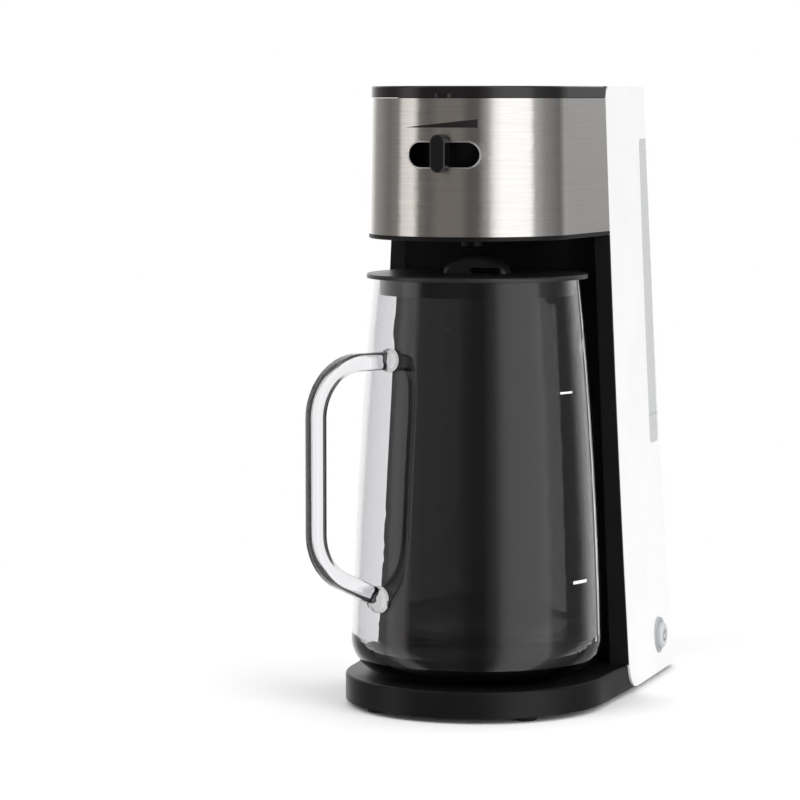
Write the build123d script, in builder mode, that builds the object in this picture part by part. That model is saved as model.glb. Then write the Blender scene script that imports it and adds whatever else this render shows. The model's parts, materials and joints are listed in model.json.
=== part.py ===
"""Iced tea maker with a glass pitcher, as an assembly of separate pieces.

Millimetres, +Z up, front toward -Y. The origin is on the surface that the maker stands on, under the
middle of its outline. Heights (z) are measured from there. Plan sizes (x, y) are measured from the
pitcher's vertical axis, which stands at y = pitcher_y; level(), upright() and side() give the drawing
planes that have it as their origin.
"""
from build123d import *
import os
from math import acos, atan2, cos, degrees, hypot, pi, radians, sin

os.makedirs("parts", exist_ok=True)

# ------------------------------------------------------------------ driving dimensions
# Heights of the stack
height = 340.0  # top of the closed lid
foot_height = 3.0
base_top = 17.5  # face that the pitcher stands on
lid_band = 6.6  # dark edge of the lid above the steel
band_height = 73.4  # steel band
trim_height = 2.35  # bead under the steel
trim_proud = 0.1
trim_round = 1.0
head_room = 22.2  # between the pitcher's rim and the head

# Plan of the nose-shaped base and head, and of the column behind them
base_narrowing = 4.4  # by which the base's round front is narrower than the column's foot
base_round = 1.6
nose_bottom = 56.4  # radius of the head's front at the steel band's lower and upper edge
nose_top = 55.2
head_centre = -9.0  # the brew basket's axis stands this far in front of the pitcher's
panel_front = 44.6
column_half_bottom = 76.9  # half the column's width at z = 0 and at the top
column_half_top = 60.3
column_waist = 1.15  # how far the flanks bow in at mid height
back_bottom = 162.0  # reach behind the pitcher's axis at z = 0 and at the top
back_top = 148.0
corner_radius = 18.0  # upright rear corners
panel_foot_radius = 16.0  # rounded front corners of the side panels
panel_crown_radius = 8.0
column_lip = 2.0  # thickness of the column front's edge, which covers the panels' front edges

# Walls and clearances
wall = 2.5  # moulded housings
panel_wall = 2.6
steel_wall = 0.8
seam = 0.15  # gap between housings that meet
fit_gap = 0.06  # radial clearance of a shaft in its bore
slide_gap = 0.3  # gap between parts that pass each other
overrun = 6.0  # how far cutting tools run past what they cut

# Pitcher
pitcher_rim_radius = 57.0
pitcher_belly_radius = 65.2
pitcher_foot_radius = 69.6
pitcher_belly = 0.54  # height of the belly radius, as a share of the pitcher's height
glass_wall = 3.0
glass_floor = 6.0
rim_overrun = 0.01  # how far the cavity runs past the rim
pitcher_corner = 19.0  # rounding between the glass floor and the flank
stand_gap = 0.2  # between the pitcher and the base
spout_reach = 8.5
spout_width = 25.0
spout_wall = 2.8
spout_drop = 26.0  # how far below the rim the lip starts
spout_root = 12.0  # how far inside the rim's edge the lip starts
spout_root_radius = 10.0
handle_turn = 33.0  # degrees from the front toward the left
handle_reach = 116.8
handle_width = 10.0
handle_depth = 9.6
handle_bend = 29.0
handle_drop = 42.6  # of the upper joint below the rim
handle_bottom = 43.5  # height of the lower joint above the pitcher's foot
handle_slope = 25.0  # degrees by which the lower arm falls toward the glass
handle_round = 3.0
handle_root_top = 2.0  # how far inside the flank's radius the upper and lower arm start
handle_root_foot = 6.0
pad_top_radius = 6.4  # swellings where the arms meet the glass
pad_top_reach = 5.0
pad_foot_radius = 7.4
pad_foot_reach = -0.6
pad_foot_rise = 2.2

# Pitcher lid
lid_flange_radius = 60.7
lid_flange = 2.4
lid_skirt = 9.0
lid_skirt_thickness = 2.0
lid_flange_round = 1.0
spout_notch_depth = 0.9  # lowered rim over the spout
spout_notch_reach = 8.0
spout_notch_width = 26.0
grip_width = 36.4
grip_height = 10.6
grip_depth = 14.0
grip_round = 3.2  # rounding along the grip's arch
grip_gap_x = 6.4
grip_gap_width = 17.0
grip_gap_height = 3.2
comb_slot = 1.7
comb_count = 9
comb_pitch = 3.6  # degrees
comb_foot = 2.0  # solid edge below and above the comb
comb_head = 1.5
drain_count = 5
drain_pitch = 5.0
drain_width = 2.4
drain_length = 9.0
drain_front = 8.0  # of the slots' middle in front of the basket's axis

# Concave face of the column behind the pitcher
scoop_radius_bottom = 78.0
scoop_radius_top = 69.5
column_return = 80.0  # how far back the column front's flanks reach

# Water side
tank_front = 98.0
tank_bottom = 135.0
tank_headroom = 22.0  # between the tank's rim and the top of the lid
tank_wall = 2.2
tank_gap = 1.6
tank_corner = 8.0
shelf_thickness = 2.8
outlet_inset = 32.9  # of the tank's outlet from the column's left foot
outlet_y = 118.0
valve_radius = 8.0
valve_drop = 7.0
hose_radius = 4.5
hose_bore = 2.8
hose_bend = 12.0
riser_y = 91.0
heater_foot = 40.0
heater_top = 88.0
heater_depth = 14.0
heater_thickness = 13.0
heater_round = 3.0
nipple_height = 8.0
nipple_wall = 1.2
nipple_root = 1.0  # how far the nipples reach into the heater
bracket_sheet = 1.5
bracket_foot = 22.0
bracket_corner = 5.0
thermostat_radius = 8.0
thermostat_flange = 2.0
thermostat_body = 6.0
thermostat_tab = 6.3
tab_sheet = 0.8
fuse_radius = 3.0
fuse_length = 22.0
fuse_lead = 6.0
fuse_z = 72.0

# Window and power button in the right panel
window_front = 117.0
window_back = 136.0
window_margin = 8.0  # between the window's top and the tank's rim
window_corner = 3.0
groove_depth = 0.8
window_groove = 16.5  # height of the groove above the window's foot
button_y = 115.5
button_z = 23.9
button_radius = 7.35
button_proud = 3.6
button_travel = 2.0
button_round = 1.2
switch_width = 15.0
switch_height = 10.0
switch_depth = 13.0
switch_round = 1.5
switch_foot = 2.5  # how far its foot reaches past its body, to the front and back
ring_radius = 10.3
ring_proud = 0.9
ring_ribs = 36
rib_margin = 0.5
rib_notch = 0.7
rib_depth = 0.6
button_pocket = 1.5  # room round the button ring inside the base

# Head: selector slot, lever and knob
slot_width = 41.2
slot_height = 15.2
slot_rise = 43.5  # above the band's lower edge
bezel_rim = 1.0
bezel_proud = 0.5
stem_width = 5.0
stem_height = 6.0
knob_width = 8.6
knob_height = 20.3
knob_rise = 0.8  # of the knob's middle above the slot's
knob_depth = 9.2
knob_round = 1.3
lever_thickness = 2.5
lever_disc_radius = 18.0
lever_post = 2.8
post_gap = 2.2  # between the lever's post and the head shell
pivot_radius = 9.5

# Brew basket, filter and spray head
basket_top_radius = 46.4
basket_foot_radius = 41.5
basket_lift = 8.1  # of the basket's floor above the head's underside
basket_wall = 2.0
basket_flange_radius = 51.0
basket_flange = 2.2
outlet_radius = 6.0
outlet_drop = 12.5
deck_drop = 16.9  # of the deck below the band's upper edge
deck_thickness = 2.5
shell_ledge = 0.9
shell_back = 82.0
filter_wall = 1.2
filter_windows = 10
filter_rib = 9.4  # between two windows
filter_hoop = 8.0  # solid band above and below the windows
filter_lift = 2.0
filter_lip = 3.0
spray_radius = 20.0
spray_height = 9.75
spray_duct = 12.0
spray_holes = 8
spray_ring = 13.0  # radius of the ring of holes
spray_hole = 1.4  # radius of one hole
spray_depth = 4.0  # of the holes

# Top lid and its hinge
lid_skirt_wall = 2.2
lid_plate = 2.6
lid_gap = 0.5
lid_round = 1.2  # rounding of the lid's front edge
notch_radius = 8.0
notch_depth = 1.5
notch_height = 2.2
hinge_y = 133.0
barrel_radius = 4.0  # the barrel's top is flush with the lid
barrel_half = 43.6
hinge_pin_radius = 1.6
hinge_pin_half = 50.0
hinge_pin_chamfer = 0.4
bracket_drop = 13.0

# Rear cover, feet, screws and gland
cover_half = 44.0
vent_count = 6
vent_width = 46.0
vent_height = 2.6
vent_pitch = 7.0
vent_z = 62.0
foot_radius = 6.8
foot_round = 0.8
foot_places = ((-41.0, -46.0), (41.0, -46.0), (-52.0, 130.0), (52.0, 130.0))
screw_places = ((-57.0, -14.0), (57.0, -14.0), (-60.0, 96.0), (60.0, 96.0))
screw_radius = 1.5
screw_head_radius = 3.0
screw_head_height = 1.6
screw_length = 8.0
recess_span = 3.2  # cross-shaped driver recess
recess_width = 0.7
boss_radius = 4.2
plate_thickness = 2.2
gland_x = -30.0
gland_z = 36.0
gland_radius = 6.5
gland_flange = 1.4
gland_bore = 3.6
gland_neck = 4.0  # how far the gland reaches into the rear cover past its wall

# ------------------------------------------------------------------ derived sizes
base_radius = column_half_bottom - base_narrowing
outlet_x = outlet_inset - column_half_bottom
handle_front = handle_reach * cos(radians(handle_turn)) + handle_width / 2 * sin(radians(handle_turn))
pitcher_y = (handle_front - back_bottom) / 2  # centres the outline on the origin, front to back
band_top = height - lid_band
band_bottom = band_top - band_height
head_bottom = band_bottom - seam - trim_height
pitcher_foot = base_top + stand_gap
pitcher_rim = head_bottom - head_room
pitcher_height = pitcher_rim - pitcher_foot
lid_top = pitcher_rim + stand_gap + lid_flange
basket_foot = head_bottom + basket_lift
deck_z = band_top - deck_drop
deck_top = deck_z + deck_thickness
slot_z = band_bottom + slot_rise
knob_z = slot_z + knob_rise
slot_reach = nose_bottom / 2 + overrun  # from in front of the head to behind its front wall
tank_top = height - tank_headroom
window_bottom = tank_bottom
window_top = tank_top - window_margin
scoop_span = head_bottom - base_top
lid_bottom = band_top + slide_gap
plate_bottom = height - lid_plate
hinge_z = height - barrel_radius
spray_bottom = plate_bottom - seam - spray_height
hose_top = spray_bottom - slide_gap


def level(z):
    """A horizontal drawing plane at this height, centred on the pitcher's axis."""
    return Plane(origin=(0, pitcher_y, z))


def upright(y=0.0):
    """A drawing plane facing the front (local x = X, local y = height), at this depth."""
    return Plane(origin=(0, pitcher_y + y, 0), x_dir=(1, 0, 0), z_dir=(0, -1, 0))


def side(x=0.0):
    """A drawing plane facing the right (local x = depth, local y = height)."""
    return Plane(origin=(x, pitcher_y, 0), x_dir=(0, 1, 0), z_dir=(1, 0, 0))


def post_axis(x=0.0, y=0.0):
    """An upright axis through this place in plan."""
    return Axis((x, pitcher_y + y, 0), (0, 0, 1))


def half_width(z):
    """Half the column's width at this height: a straight taper that bows in a little."""
    share = z / height
    taper = column_half_bottom + (column_half_top - column_half_bottom) * share
    return taper - 4 * column_waist * share * (1 - share)


def back_reach(z):
    """How far the column's back lies behind the pitcher's axis at this height."""
    return back_bottom + (back_top - back_bottom) * z / height


def scoop_radius(z):
    """Radius of the concave face behind the pitcher at this height."""
    return scoop_radius_bottom + (scoop_radius_top - scoop_radius_bottom) * (z - base_top) / scoop_span


def nose(radius, centre, half, back):
    """Plan outline with a round front, flanks tangent to it and a straight back."""
    turn = atan2(back - centre, half) - acos(radius / hypot(half, back - centre))
    touch = (radius * cos(turn), centre + radius * sin(turn))
    with BuildSketch() as outline:
        with BuildLine():
            Line((-half, back), (half, back))
            Line((half, back), touch)
            ThreePointArc(touch, (0, centre - radius), (-touch[0], touch[1]))
            Line((-touch[0], touch[1]), (-half, back))
        make_face()
    return outline.sketch


def nose_radius(z):
    """Radius of the head's round front at this height."""
    return nose_bottom + (nose_top - nose_bottom) * (z - band_bottom) / band_height


def head_outline(z, inset, back):
    """Plan outline of the head at this height, drawn in by an inset. It meets the panels at its back."""
    return nose(nose_radius(z) - inset, head_centre, half_width(z) - seam - inset, back)


def head_block(inset, bottom, top):
    """The tapered head in front of the panels between two heights, drawn in by an inset."""
    with BuildPart() as block:
        for z in (bottom, top):
            with BuildSketch(level(z)):
                add(head_outline(z, inset, panel_front - seam - inset))
        loft()
    return block.part


def head_band(thickness, bottom, top):
    """A band of this thickness round the head's front and flanks between two heights."""
    with BuildPart() as band:
        for z in (bottom, top):
            with BuildSketch(level(z)):
                add(head_outline(z, 0, panel_front - seam))
                add(head_outline(z, thickness, panel_front - seam), mode=Mode.SUBTRACT)
        loft()
    return band.part


def column_block(inset, front, bottom, top):
    """The tapered column between two heights, drawn in by an inset and starting at a front plane."""
    middle = (bottom + top) / 2
    foot, waist, crown = (half_width(z) - inset for z in (bottom, middle, top))
    with BuildPart() as block:
        with BuildSketch(upright(front)):
            with BuildLine():
                Line((-foot, bottom), (foot, bottom))
                ThreePointArc((foot, bottom), (waist, middle), (crown, top))
                Line((crown, top), (-crown, top))
                ThreePointArc((-crown, top), (-waist, middle), (-foot, bottom))
            make_face()
        extrude(amount=front - back_bottom - overrun)
        with BuildSketch(side()):
            with BuildLine():
                Polyline(
                    (front, bottom),
                    (back_reach(bottom) - inset, bottom),
                    (back_reach(top) - inset, top),
                    (front, top),
                    close=True,
                )
            make_face()
        extrude(amount=column_half_bottom + overrun, both=True, mode=Mode.INTERSECT)
        uprights = block.edges().filter_by(lambda e: abs((e @ 1 - e @ 0).Z) > 0.8 * (top - bottom))
        fillet(uprights.group_by(Axis.Y)[-1], radius=corner_radius - inset)
    return block.part


def scoop(gap, bottom, top):
    """The tapered round space that the pitcher stands in, widened by a gap."""
    with BuildPart() as space:
        with BuildSketch(level(bottom)):
            Circle(scoop_radius(bottom) + gap)
        with BuildSketch(level(top)):
            Circle(scoop_radius(top) + gap)
        loft()
    return space.part


def panel_shell():
    """The white shell round the column, before it is cut into panels and a rear cover."""
    with BuildPart() as shell:
        add(column_block(0, panel_front, foot_height, height))
        front_edges = shell.edges().filter_by(Axis.X).group_by(Axis.Y)[0].sort_by(Axis.Z)
        fillet(front_edges[0], radius=panel_foot_radius)
        front_edges = shell.edges().filter_by(Axis.X).group_by(Axis.Y)[0].sort_by(Axis.Z)
        fillet(front_edges[-1], radius=panel_crown_radius)
        inner = column_block(panel_wall, panel_front - overrun, foot_height - overrun, height + overrun)
        add(inner, mode=Mode.SUBTRACT)
    return shell.part


def shell_form(inset, bottom, top):
    """The room inside the steel and, behind it, between the panels, drawn in by an inset."""
    with BuildPart() as form:
        add(head_block(steel_wall + seam + inset, bottom, top))
        add(column_block(panel_wall + 2 * seam + inset, panel_front - overrun, bottom, top))
        split(bisect_by=upright(shell_back - inset), keep=Keep.TOP)
    return form.part


def slot_prism(inset):
    """A bar of the selector slot's outline, drawn in by an inset, through the head's front wall."""
    with BuildPart() as prism:
        with BuildSketch(upright(head_centre - nose_bottom - overrun)):
            with Locations((0, slot_z)):
                SlotOverall(slot_width - 2 * inset, slot_height - 2 * inset)
        extrude(amount=-slot_reach)
    return prism.part


def window_outline(inset):
    """Outline of the water window in the side view, drawn in by an inset."""
    width = window_back - window_front - 2 * inset
    tall = window_top - window_bottom - 2 * inset
    with BuildSketch() as outline:
        with Locations(((window_front + window_back) / 2, (window_bottom + window_top) / 2)):
            RectangleRounded(width, tall, window_corner - inset)
    return outline.sketch


# ------------------------------------------------------------------ base
hollow_half = half_width(base_top) - panel_wall - seam - wall
corner_back = panel_front + panel_foot_radius

with BuildPart() as base_housing:
    with BuildSketch(level(foot_height)):
        add(nose(base_radius, 0, half_width(base_top), corner_back))
    extrude(amount=base_top - foot_height)
    fillet(base_housing.faces().sort_by(Axis.Z)[-1].edges().sort_by(Axis.Y)[:3], radius=base_round)
    # Step behind the rounded lower corners of the side panels
    for hand in (-1, 1):
        with BuildSketch(side(hand * (half_width(base_top) - panel_wall - seam))):
            with BuildLine():
                start = (panel_front - seam, foot_height + panel_foot_radius)
                end = (corner_back, foot_height - seam)
                Line((start[0], base_top + overrun), start)
                RadiusArc(start, end, -(panel_foot_radius + seam))
                Line(end, (corner_back + overrun, end[1]))
                Line((corner_back + overrun, end[1]), (corner_back + overrun, base_top + overrun))
                Line((corner_back + overrun, base_top + overrun), (start[0], base_top + overrun))
            make_face()
        extrude(amount=hand * (panel_wall + overrun), mode=Mode.SUBTRACT)
    add(column_block(panel_wall + seam, panel_front, foot_height, base_top))
    # Hollow underside
    with BuildSketch(level(foot_height - overrun)):
        add(nose(base_radius - wall, 0, hollow_half, corner_back))
    extrude(amount=base_top - wall - foot_height + overrun, mode=Mode.SUBTRACT)
    hollow = column_block(
        panel_wall + seam + wall, panel_front, foot_height - overrun, base_top - wall
    )
    add(hollow, mode=Mode.SUBTRACT)
    # Screw bosses
    with BuildSketch(level(foot_height + plate_thickness)):
        for place in screw_places:
            with Locations(place):
                Circle(boss_radius)
    extrude(amount=base_top - wall / 2 - foot_height - plate_thickness)
    with BuildSketch(level(foot_height)):
        for place in screw_places:
            with Locations(place):
                Circle(screw_radius)
    extrude(amount=screw_length + plate_thickness, mode=Mode.SUBTRACT)
    # Pocket behind the power button
    with BuildSketch(side(half_width(button_z) - 3 * panel_wall)):
        with Locations((button_y, button_z)):
            Circle(ring_radius + button_pocket)
    extrude(amount=4 * panel_wall, mode=Mode.SUBTRACT)
base_housing.part.label = "base_housing"
export_step(base_housing.part, "parts/base_housing.step")

with BuildPart() as bottom_cover:
    with BuildSketch(level(foot_height)):
        add(nose(base_radius - wall - slide_gap, 0, hollow_half - slide_gap, corner_back))
    extrude(amount=plate_thickness)
    add(
        column_block(
            panel_wall + seam + wall + slide_gap,
            panel_front,
            foot_height,
            foot_height + plate_thickness,
        )
    )
    with BuildSketch(level(foot_height)):
        for place in foot_places:
            with Locations(place):
                Circle(foot_radius / 2 + seam)
        for place in screw_places:
            with Locations(place):
                Circle(screw_radius + seam)
    extrude(amount=plate_thickness, mode=Mode.SUBTRACT)
    with BuildSketch(level(foot_height)):
        for place in screw_places:
            with Locations(place):
                Circle(screw_head_radius + seam)
    extrude(amount=screw_head_height, mode=Mode.SUBTRACT)
bottom_cover.part.label = "bottom_cover"
export_step(bottom_cover.part, "parts/bottom_cover.step")

with BuildPart() as rubber_feet:
    with BuildSketch(level(0)):
        for place in foot_places:
            with Locations(place):
                Circle(foot_radius)
    extrude(amount=foot_height)
    fillet(rubber_feet.faces().group_by(Axis.Z)[0].edges(), radius=foot_round)
    with BuildSketch(level(foot_height)):
        for place in foot_places:
            with Locations(place):
                Circle(foot_radius / 2)
    extrude(amount=plate_thickness)
rubber_feet.part.label = "rubber_feet"
export_step(rubber_feet.part, "parts/rubber_feet.step")

with BuildPart() as screws:
    with BuildSketch(level(foot_height + screw_head_height)):
        for place in screw_places:
            with Locations(place):
                Circle(screw_radius - fit_gap)
    extrude(amount=screw_length)
    with BuildSketch(level(foot_height)):
        for place in screw_places:
            with Locations(place):
                Circle(screw_head_radius)
    extrude(amount=screw_head_height)
    # Driver recess
    with BuildSketch(level(foot_height)):
        for place in screw_places:
            with Locations(place):
                Rectangle(recess_span, recess_width)
                Rectangle(recess_width, recess_span)
    extrude(amount=screw_head_height / 2, mode=Mode.SUBTRACT)
screws.part.label = "screws"
export_step(screws.part, "parts/screws.step")

# ------------------------------------------------------------------ column and panels
white_shell = panel_shell()

with BuildPart() as left_side_panel:
    add(white_shell)
    split(bisect_by=Plane.YZ.offset(-(cover_half + seam)), keep=Keep.BOTTOM)
left_side_panel.part.label = "left_side_panel"
export_step(left_side_panel.part, "parts/left_side_panel.step")

with BuildPart() as right_side_panel:
    add(white_shell)
    split(bisect_by=Plane.YZ.offset(cover_half + seam), keep=Keep.TOP)
    with BuildSketch(side()):
        add(window_outline(0))
    extrude(amount=column_half_bottom + overrun, mode=Mode.SUBTRACT)
    with BuildSketch(side()):
        with Locations((button_y, button_z)):
            Circle(ring_radius + seam)
    extrude(amount=column_half_bottom + overrun, mode=Mode.SUBTRACT)
right_side_panel.part.label = "right_side_panel"
export_step(right_side_panel.part, "parts/right_side_panel.step")

with BuildPart() as level_window:
    add(white_shell)
    with BuildSketch(side()):
        add(window_outline(seam))
    extrude(amount=column_half_bottom + overrun, mode=Mode.INTERSECT)
    # Groove between the tank's window and the short clear pane below it
    groove_z = window_bottom + window_groove
    with BuildSketch(side(half_width(groove_z) - groove_depth)):
        with Locations(((window_front + window_back) / 2, groove_z)):
            Rectangle(window_back - window_front, 2 * groove_depth)
    extrude(amount=panel_wall, mode=Mode.SUBTRACT)
level_window.part.label = "level_window"
export_step(level_window.part, "parts/level_window.step")

with BuildPart() as rear_cover:
    add(white_shell)
    split(bisect_by=Plane.YZ.offset(cover_half), keep=Keep.BOTTOM)
    split(bisect_by=Plane.YZ.offset(-cover_half), keep=Keep.TOP)
    with BuildSketch(upright(back_bottom + overrun)):
        with Locations((0, vent_z)):
            with GridLocations(vent_pitch, vent_pitch, 1, vent_count):
                SlotOverall(vent_width, vent_height)
        with Locations((gland_x, gland_z)):
            Circle(gland_radius - gland_flange)
    extrude(amount=back_bottom - back_top + 3 * overrun, mode=Mode.SUBTRACT)
rear_cover.part.label = "rear_cover"
export_step(rear_cover.part, "parts/rear_cover.step")

with BuildPart() as cord_gland:
    gland_face = back_reach(gland_z) + slide_gap
    with BuildSketch(upright(gland_face + gland_flange)):
        with Locations((gland_x, gland_z)):
            Circle(gland_radius)
    extrude(amount=gland_flange)
    with BuildSketch(upright(gland_face)):
        with Locations((gland_x, gland_z)):
            Circle(gland_radius - gland_flange - seam)
    extrude(amount=panel_wall + gland_neck)
    with BuildSketch(upright(gland_face + gland_flange)):
        with Locations((gland_x, gland_z)):
            Circle(gland_bore)
    extrude(amount=panel_wall + 2 * overrun, mode=Mode.SUBTRACT)
cord_gland.part.label = "cord_gland"
export_step(cord_gland.part, "parts/cord_gland.step")

column_inset = panel_wall + seam
column_face = panel_front - column_lip

with BuildPart() as column_core:
    add(
        column_block(
            column_inset + wall, column_face + wall, base_top - overrun, head_bottom + overrun
        )
    )
    add(scoop(wall, base_top - 2 * overrun, head_bottom + 2 * overrun), mode=Mode.SUBTRACT)

with BuildPart() as column_front:
    add(column_block(0, column_face, base_top, head_bottom))
    split(bisect_by=upright(panel_front - seam), keep=Keep.TOP)
    add(column_block(column_inset, panel_front - 2 * seam, base_top, head_bottom))
    split(bisect_by=upright(column_return), keep=Keep.TOP)
    add(scoop(0, base_top - overrun, head_bottom + overrun), mode=Mode.SUBTRACT)
    add(column_core.part, mode=Mode.SUBTRACT)
column_front.part.label = "column_front"
export_step(column_front.part, "parts/column_front.step")

# ------------------------------------------------------------------ water tank, hoses and heater
with BuildPart() as tank_shelf:
    shelf_bottom = tank_bottom - shelf_thickness
    add(column_block(column_inset, column_return + seam, shelf_bottom, tank_bottom))
    with BuildSketch(level(shelf_bottom)):
        with Locations((outlet_x, outlet_y)):
            Circle(valve_radius + slide_gap)
        with Locations((0, riser_y)):
            Circle(hose_radius + slide_gap)
    extrude(amount=shelf_thickness, mode=Mode.SUBTRACT)
tank_shelf.part.label = "tank_shelf"
export_step(tank_shelf.part, "parts/tank_shelf.step")

with BuildPart() as water_tank:
    tank_inset = panel_wall + tank_gap
    add(column_block(tank_inset, tank_front, tank_bottom, tank_top))
    front_corners = water_tank.edges().filter_by(lambda e: abs((e @ 1 - e @ 0).Z) > tank_top / 3)
    fillet(front_corners.group_by(Axis.Y)[0], radius=tank_corner)
    cavity = column_block(
        tank_inset + tank_wall, tank_front + tank_wall, tank_bottom + tank_wall, tank_top + overrun
    )
    add(cavity, mode=Mode.SUBTRACT)
    with BuildSketch(level(tank_bottom)):
        with Locations((outlet_x, outlet_y)):
            Circle(hose_bore)
    extrude(amount=tank_wall, mode=Mode.SUBTRACT)
water_tank.part.label = "water_tank"
export_step(water_tank.part, "parts/water_tank.step")

with BuildPart() as tank_valve:
    with BuildSketch(level(tank_bottom - valve_drop)):
        with Locations((outlet_x, outlet_y)):
            Circle(hose_radius)
            Circle(hose_bore, mode=Mode.SUBTRACT)
    extrude(amount=valve_drop)
    with BuildSketch(level(tank_bottom - valve_drop / 2)):
        with Locations((outlet_x, outlet_y)):
            Circle(valve_radius)
            Circle(hose_bore, mode=Mode.SUBTRACT)
    extrude(amount=valve_drop / 2)
tank_valve.part.label = "tank_valve"
export_step(tank_valve.part, "parts/tank_valve.step")

nipple_top = heater_top + nipple_height

with BuildPart() as heater:
    bend = abs(outlet_x) / 2
    with BuildLine(upright(riser_y)) as heater_path:
        Line((0, heater_top), (0, heater_foot + bend))
        ThreePointArc(
            (0, heater_foot + bend), (outlet_x / 2, heater_foot), (outlet_x, heater_foot + bend)
        )
        Line((outlet_x, heater_foot + bend), (outlet_x, heater_top))
    with BuildSketch(level(heater_top)):
        with Locations((0, riser_y)):
            RectangleRounded(heater_thickness, heater_depth, heater_round)
    sweep(path=heater_path.wire())
    with BuildSketch(level(heater_top - nipple_root)):
        with Locations((0, riser_y), (outlet_x, riser_y)):
            Circle(hose_bore + nipple_wall)
    extrude(amount=nipple_height + nipple_root)
    with BuildSketch(level(heater_top - overrun)):
        with Locations((0, riser_y), (outlet_x, riser_y)):
            Circle(hose_bore)
    extrude(amount=nipple_height + overrun, mode=Mode.SUBTRACT)
heater.part.label = "heater"
export_step(heater.part, "parts/heater.step")

heater_middle = outlet_x / 2
heater_back = riser_y + heater_depth / 2
bracket_face = heater_back + seam
bracket_back = bracket_face + bracket_sheet

with BuildPart() as heater_bracket:
    with BuildSketch(side(heater_middle)):
        with BuildLine():
            Polyline(
                (bracket_face, base_top),
                (bracket_face + bracket_foot, base_top),
                (bracket_face + bracket_foot, base_top + bracket_sheet),
                (bracket_back, base_top + bracket_sheet),
                (bracket_back, heater_top - heater_thickness / 2),
                (bracket_face, heater_top - heater_thickness / 2),
                close=True,
            )
        make_face()
    extrude(amount=(abs(outlet_x) + heater_thickness) / 2, both=True)
    fillet(heater_bracket.edges().filter_by(Axis.Y).group_by(Axis.Z)[-1], radius=bracket_corner)
heater_bracket.part.label = "heater_bracket"
export_step(heater_bracket.part, "parts/heater_bracket.step")

with BuildPart() as thermostat:
    thermostat_z = heater_foot + thermostat_radius
    with BuildSketch(upright(bracket_back)):
        with Locations((heater_middle, thermostat_z)):
            Circle(thermostat_radius)
    extrude(amount=-thermostat_flange)
    with BuildSketch(upright(bracket_back + thermostat_flange)):
        with Locations((heater_middle, thermostat_z)):
            Circle(thermostat_radius - bracket_sheet)
    extrude(amount=-thermostat_body)
    with BuildSketch(upright(bracket_back + thermostat_flange + thermostat_body)):
        with Locations((heater_middle, thermostat_z)):
            with GridLocations(thermostat_radius - tab_sheet, 1, 2, 1):
                Rectangle(tab_sheet, thermostat_tab)
    extrude(amount=-thermostat_tab)
thermostat.part.label = "thermostat"
export_step(thermostat.part, "parts/thermostat.step")

with BuildPart() as thermal_fuse:
    with BuildSketch(side(heater_middle)):
        with Locations((bracket_back + fuse_radius, fuse_z)):
            Circle(fuse_radius)
    extrude(amount=fuse_length / 2, both=True)
    with BuildSketch(side(heater_middle)):
        with Locations((bracket_back + fuse_radius, fuse_z)):
            Circle(tab_sheet)
    extrude(amount=fuse_length / 2 + fuse_lead, both=True)
thermal_fuse.part.label = "thermal_fuse"
export_step(thermal_fuse.part, "parts/thermal_fuse.step")

with BuildPart() as supply_hose:
    hose_turn = (nipple_top + tank_bottom - valve_drop) / 2
    with BuildLine(side(outlet_x)) as supply_path:
        FilletPolyline(
            (riser_y, nipple_top),
            (riser_y, hose_turn),
            (outlet_y, hose_turn),
            (outlet_y, tank_bottom - valve_drop),
            radius=hose_bend,
        )
    with BuildSketch(level(nipple_top)):
        with Locations((outlet_x, riser_y)):
            Circle(hose_radius)
            Circle(hose_bore, mode=Mode.SUBTRACT)
    sweep(path=supply_path.wire())
supply_hose.part.label = "supply_hose"
export_step(supply_hose.part, "parts/supply_hose.step")

with BuildPart() as riser_hose:
    with BuildSketch(level(nipple_top)):
        with Locations((0, riser_y)):
            Circle(hose_radius)
            Circle(hose_bore, mode=Mode.SUBTRACT)
    extrude(amount=hose_top - nipple_top)
riser_hose.part.label = "riser_hose"
export_step(riser_hose.part, "parts/riser_hose.step")

# ------------------------------------------------------------------ power button
button_face = half_width(button_z)
button_back = button_face - 2 * panel_wall

with BuildPart() as button_ring:
    with BuildSketch(side(button_face - panel_wall)):
        with Locations((button_y, button_z)):
            Circle(ring_radius)
            Circle(button_radius + fit_gap, mode=Mode.SUBTRACT)
    extrude(amount=panel_wall + ring_proud)
    # Fine ribs round the face, as notches between them
    rib_middle = (ring_radius + button_radius) / 2
    ring_face = Plane(
        origin=(button_face + ring_proud, pitcher_y + button_y, button_z),
        x_dir=(0, 1, 0),
        z_dir=(1, 0, 0),
    )
    with BuildSketch(ring_face):
        with PolarLocations(rib_middle, ring_ribs):
            Rectangle(ring_radius - button_radius - 2 * rib_margin, rib_notch)
    extrude(amount=-rib_depth, mode=Mode.SUBTRACT)
button_ring.part.label = "button_ring"
export_step(button_ring.part, "parts/button_ring.step")

with BuildPart() as power_button:
    with BuildSketch(side(button_back)):
        with Locations((button_y, button_z)):
            Circle(button_radius)
    extrude(amount=button_face + button_proud - button_back)
    fillet(power_button.faces().sort_by(Axis.X)[-1].edges(), radius=button_round)
power_button.part.label = "power_button"
export_step(power_button.part, "parts/power_button.step")

with BuildPart() as power_switch:
    switch_face = button_back - button_travel - slide_gap
    with BuildSketch(side(switch_face)):
        with Locations((button_y, button_z)):
            RectangleRounded(switch_width, switch_height, switch_round)
    extrude(amount=-switch_depth)
    with BuildSketch(level(base_top)):
        with Locations((switch_face - switch_depth / 2, button_y)):
            Rectangle(switch_depth, switch_width + 2 * switch_foot)
    extrude(amount=button_z - switch_height / 2 - base_top)
power_switch.part.label = "power_switch"
export_step(power_switch.part, "parts/power_switch.step")

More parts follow.
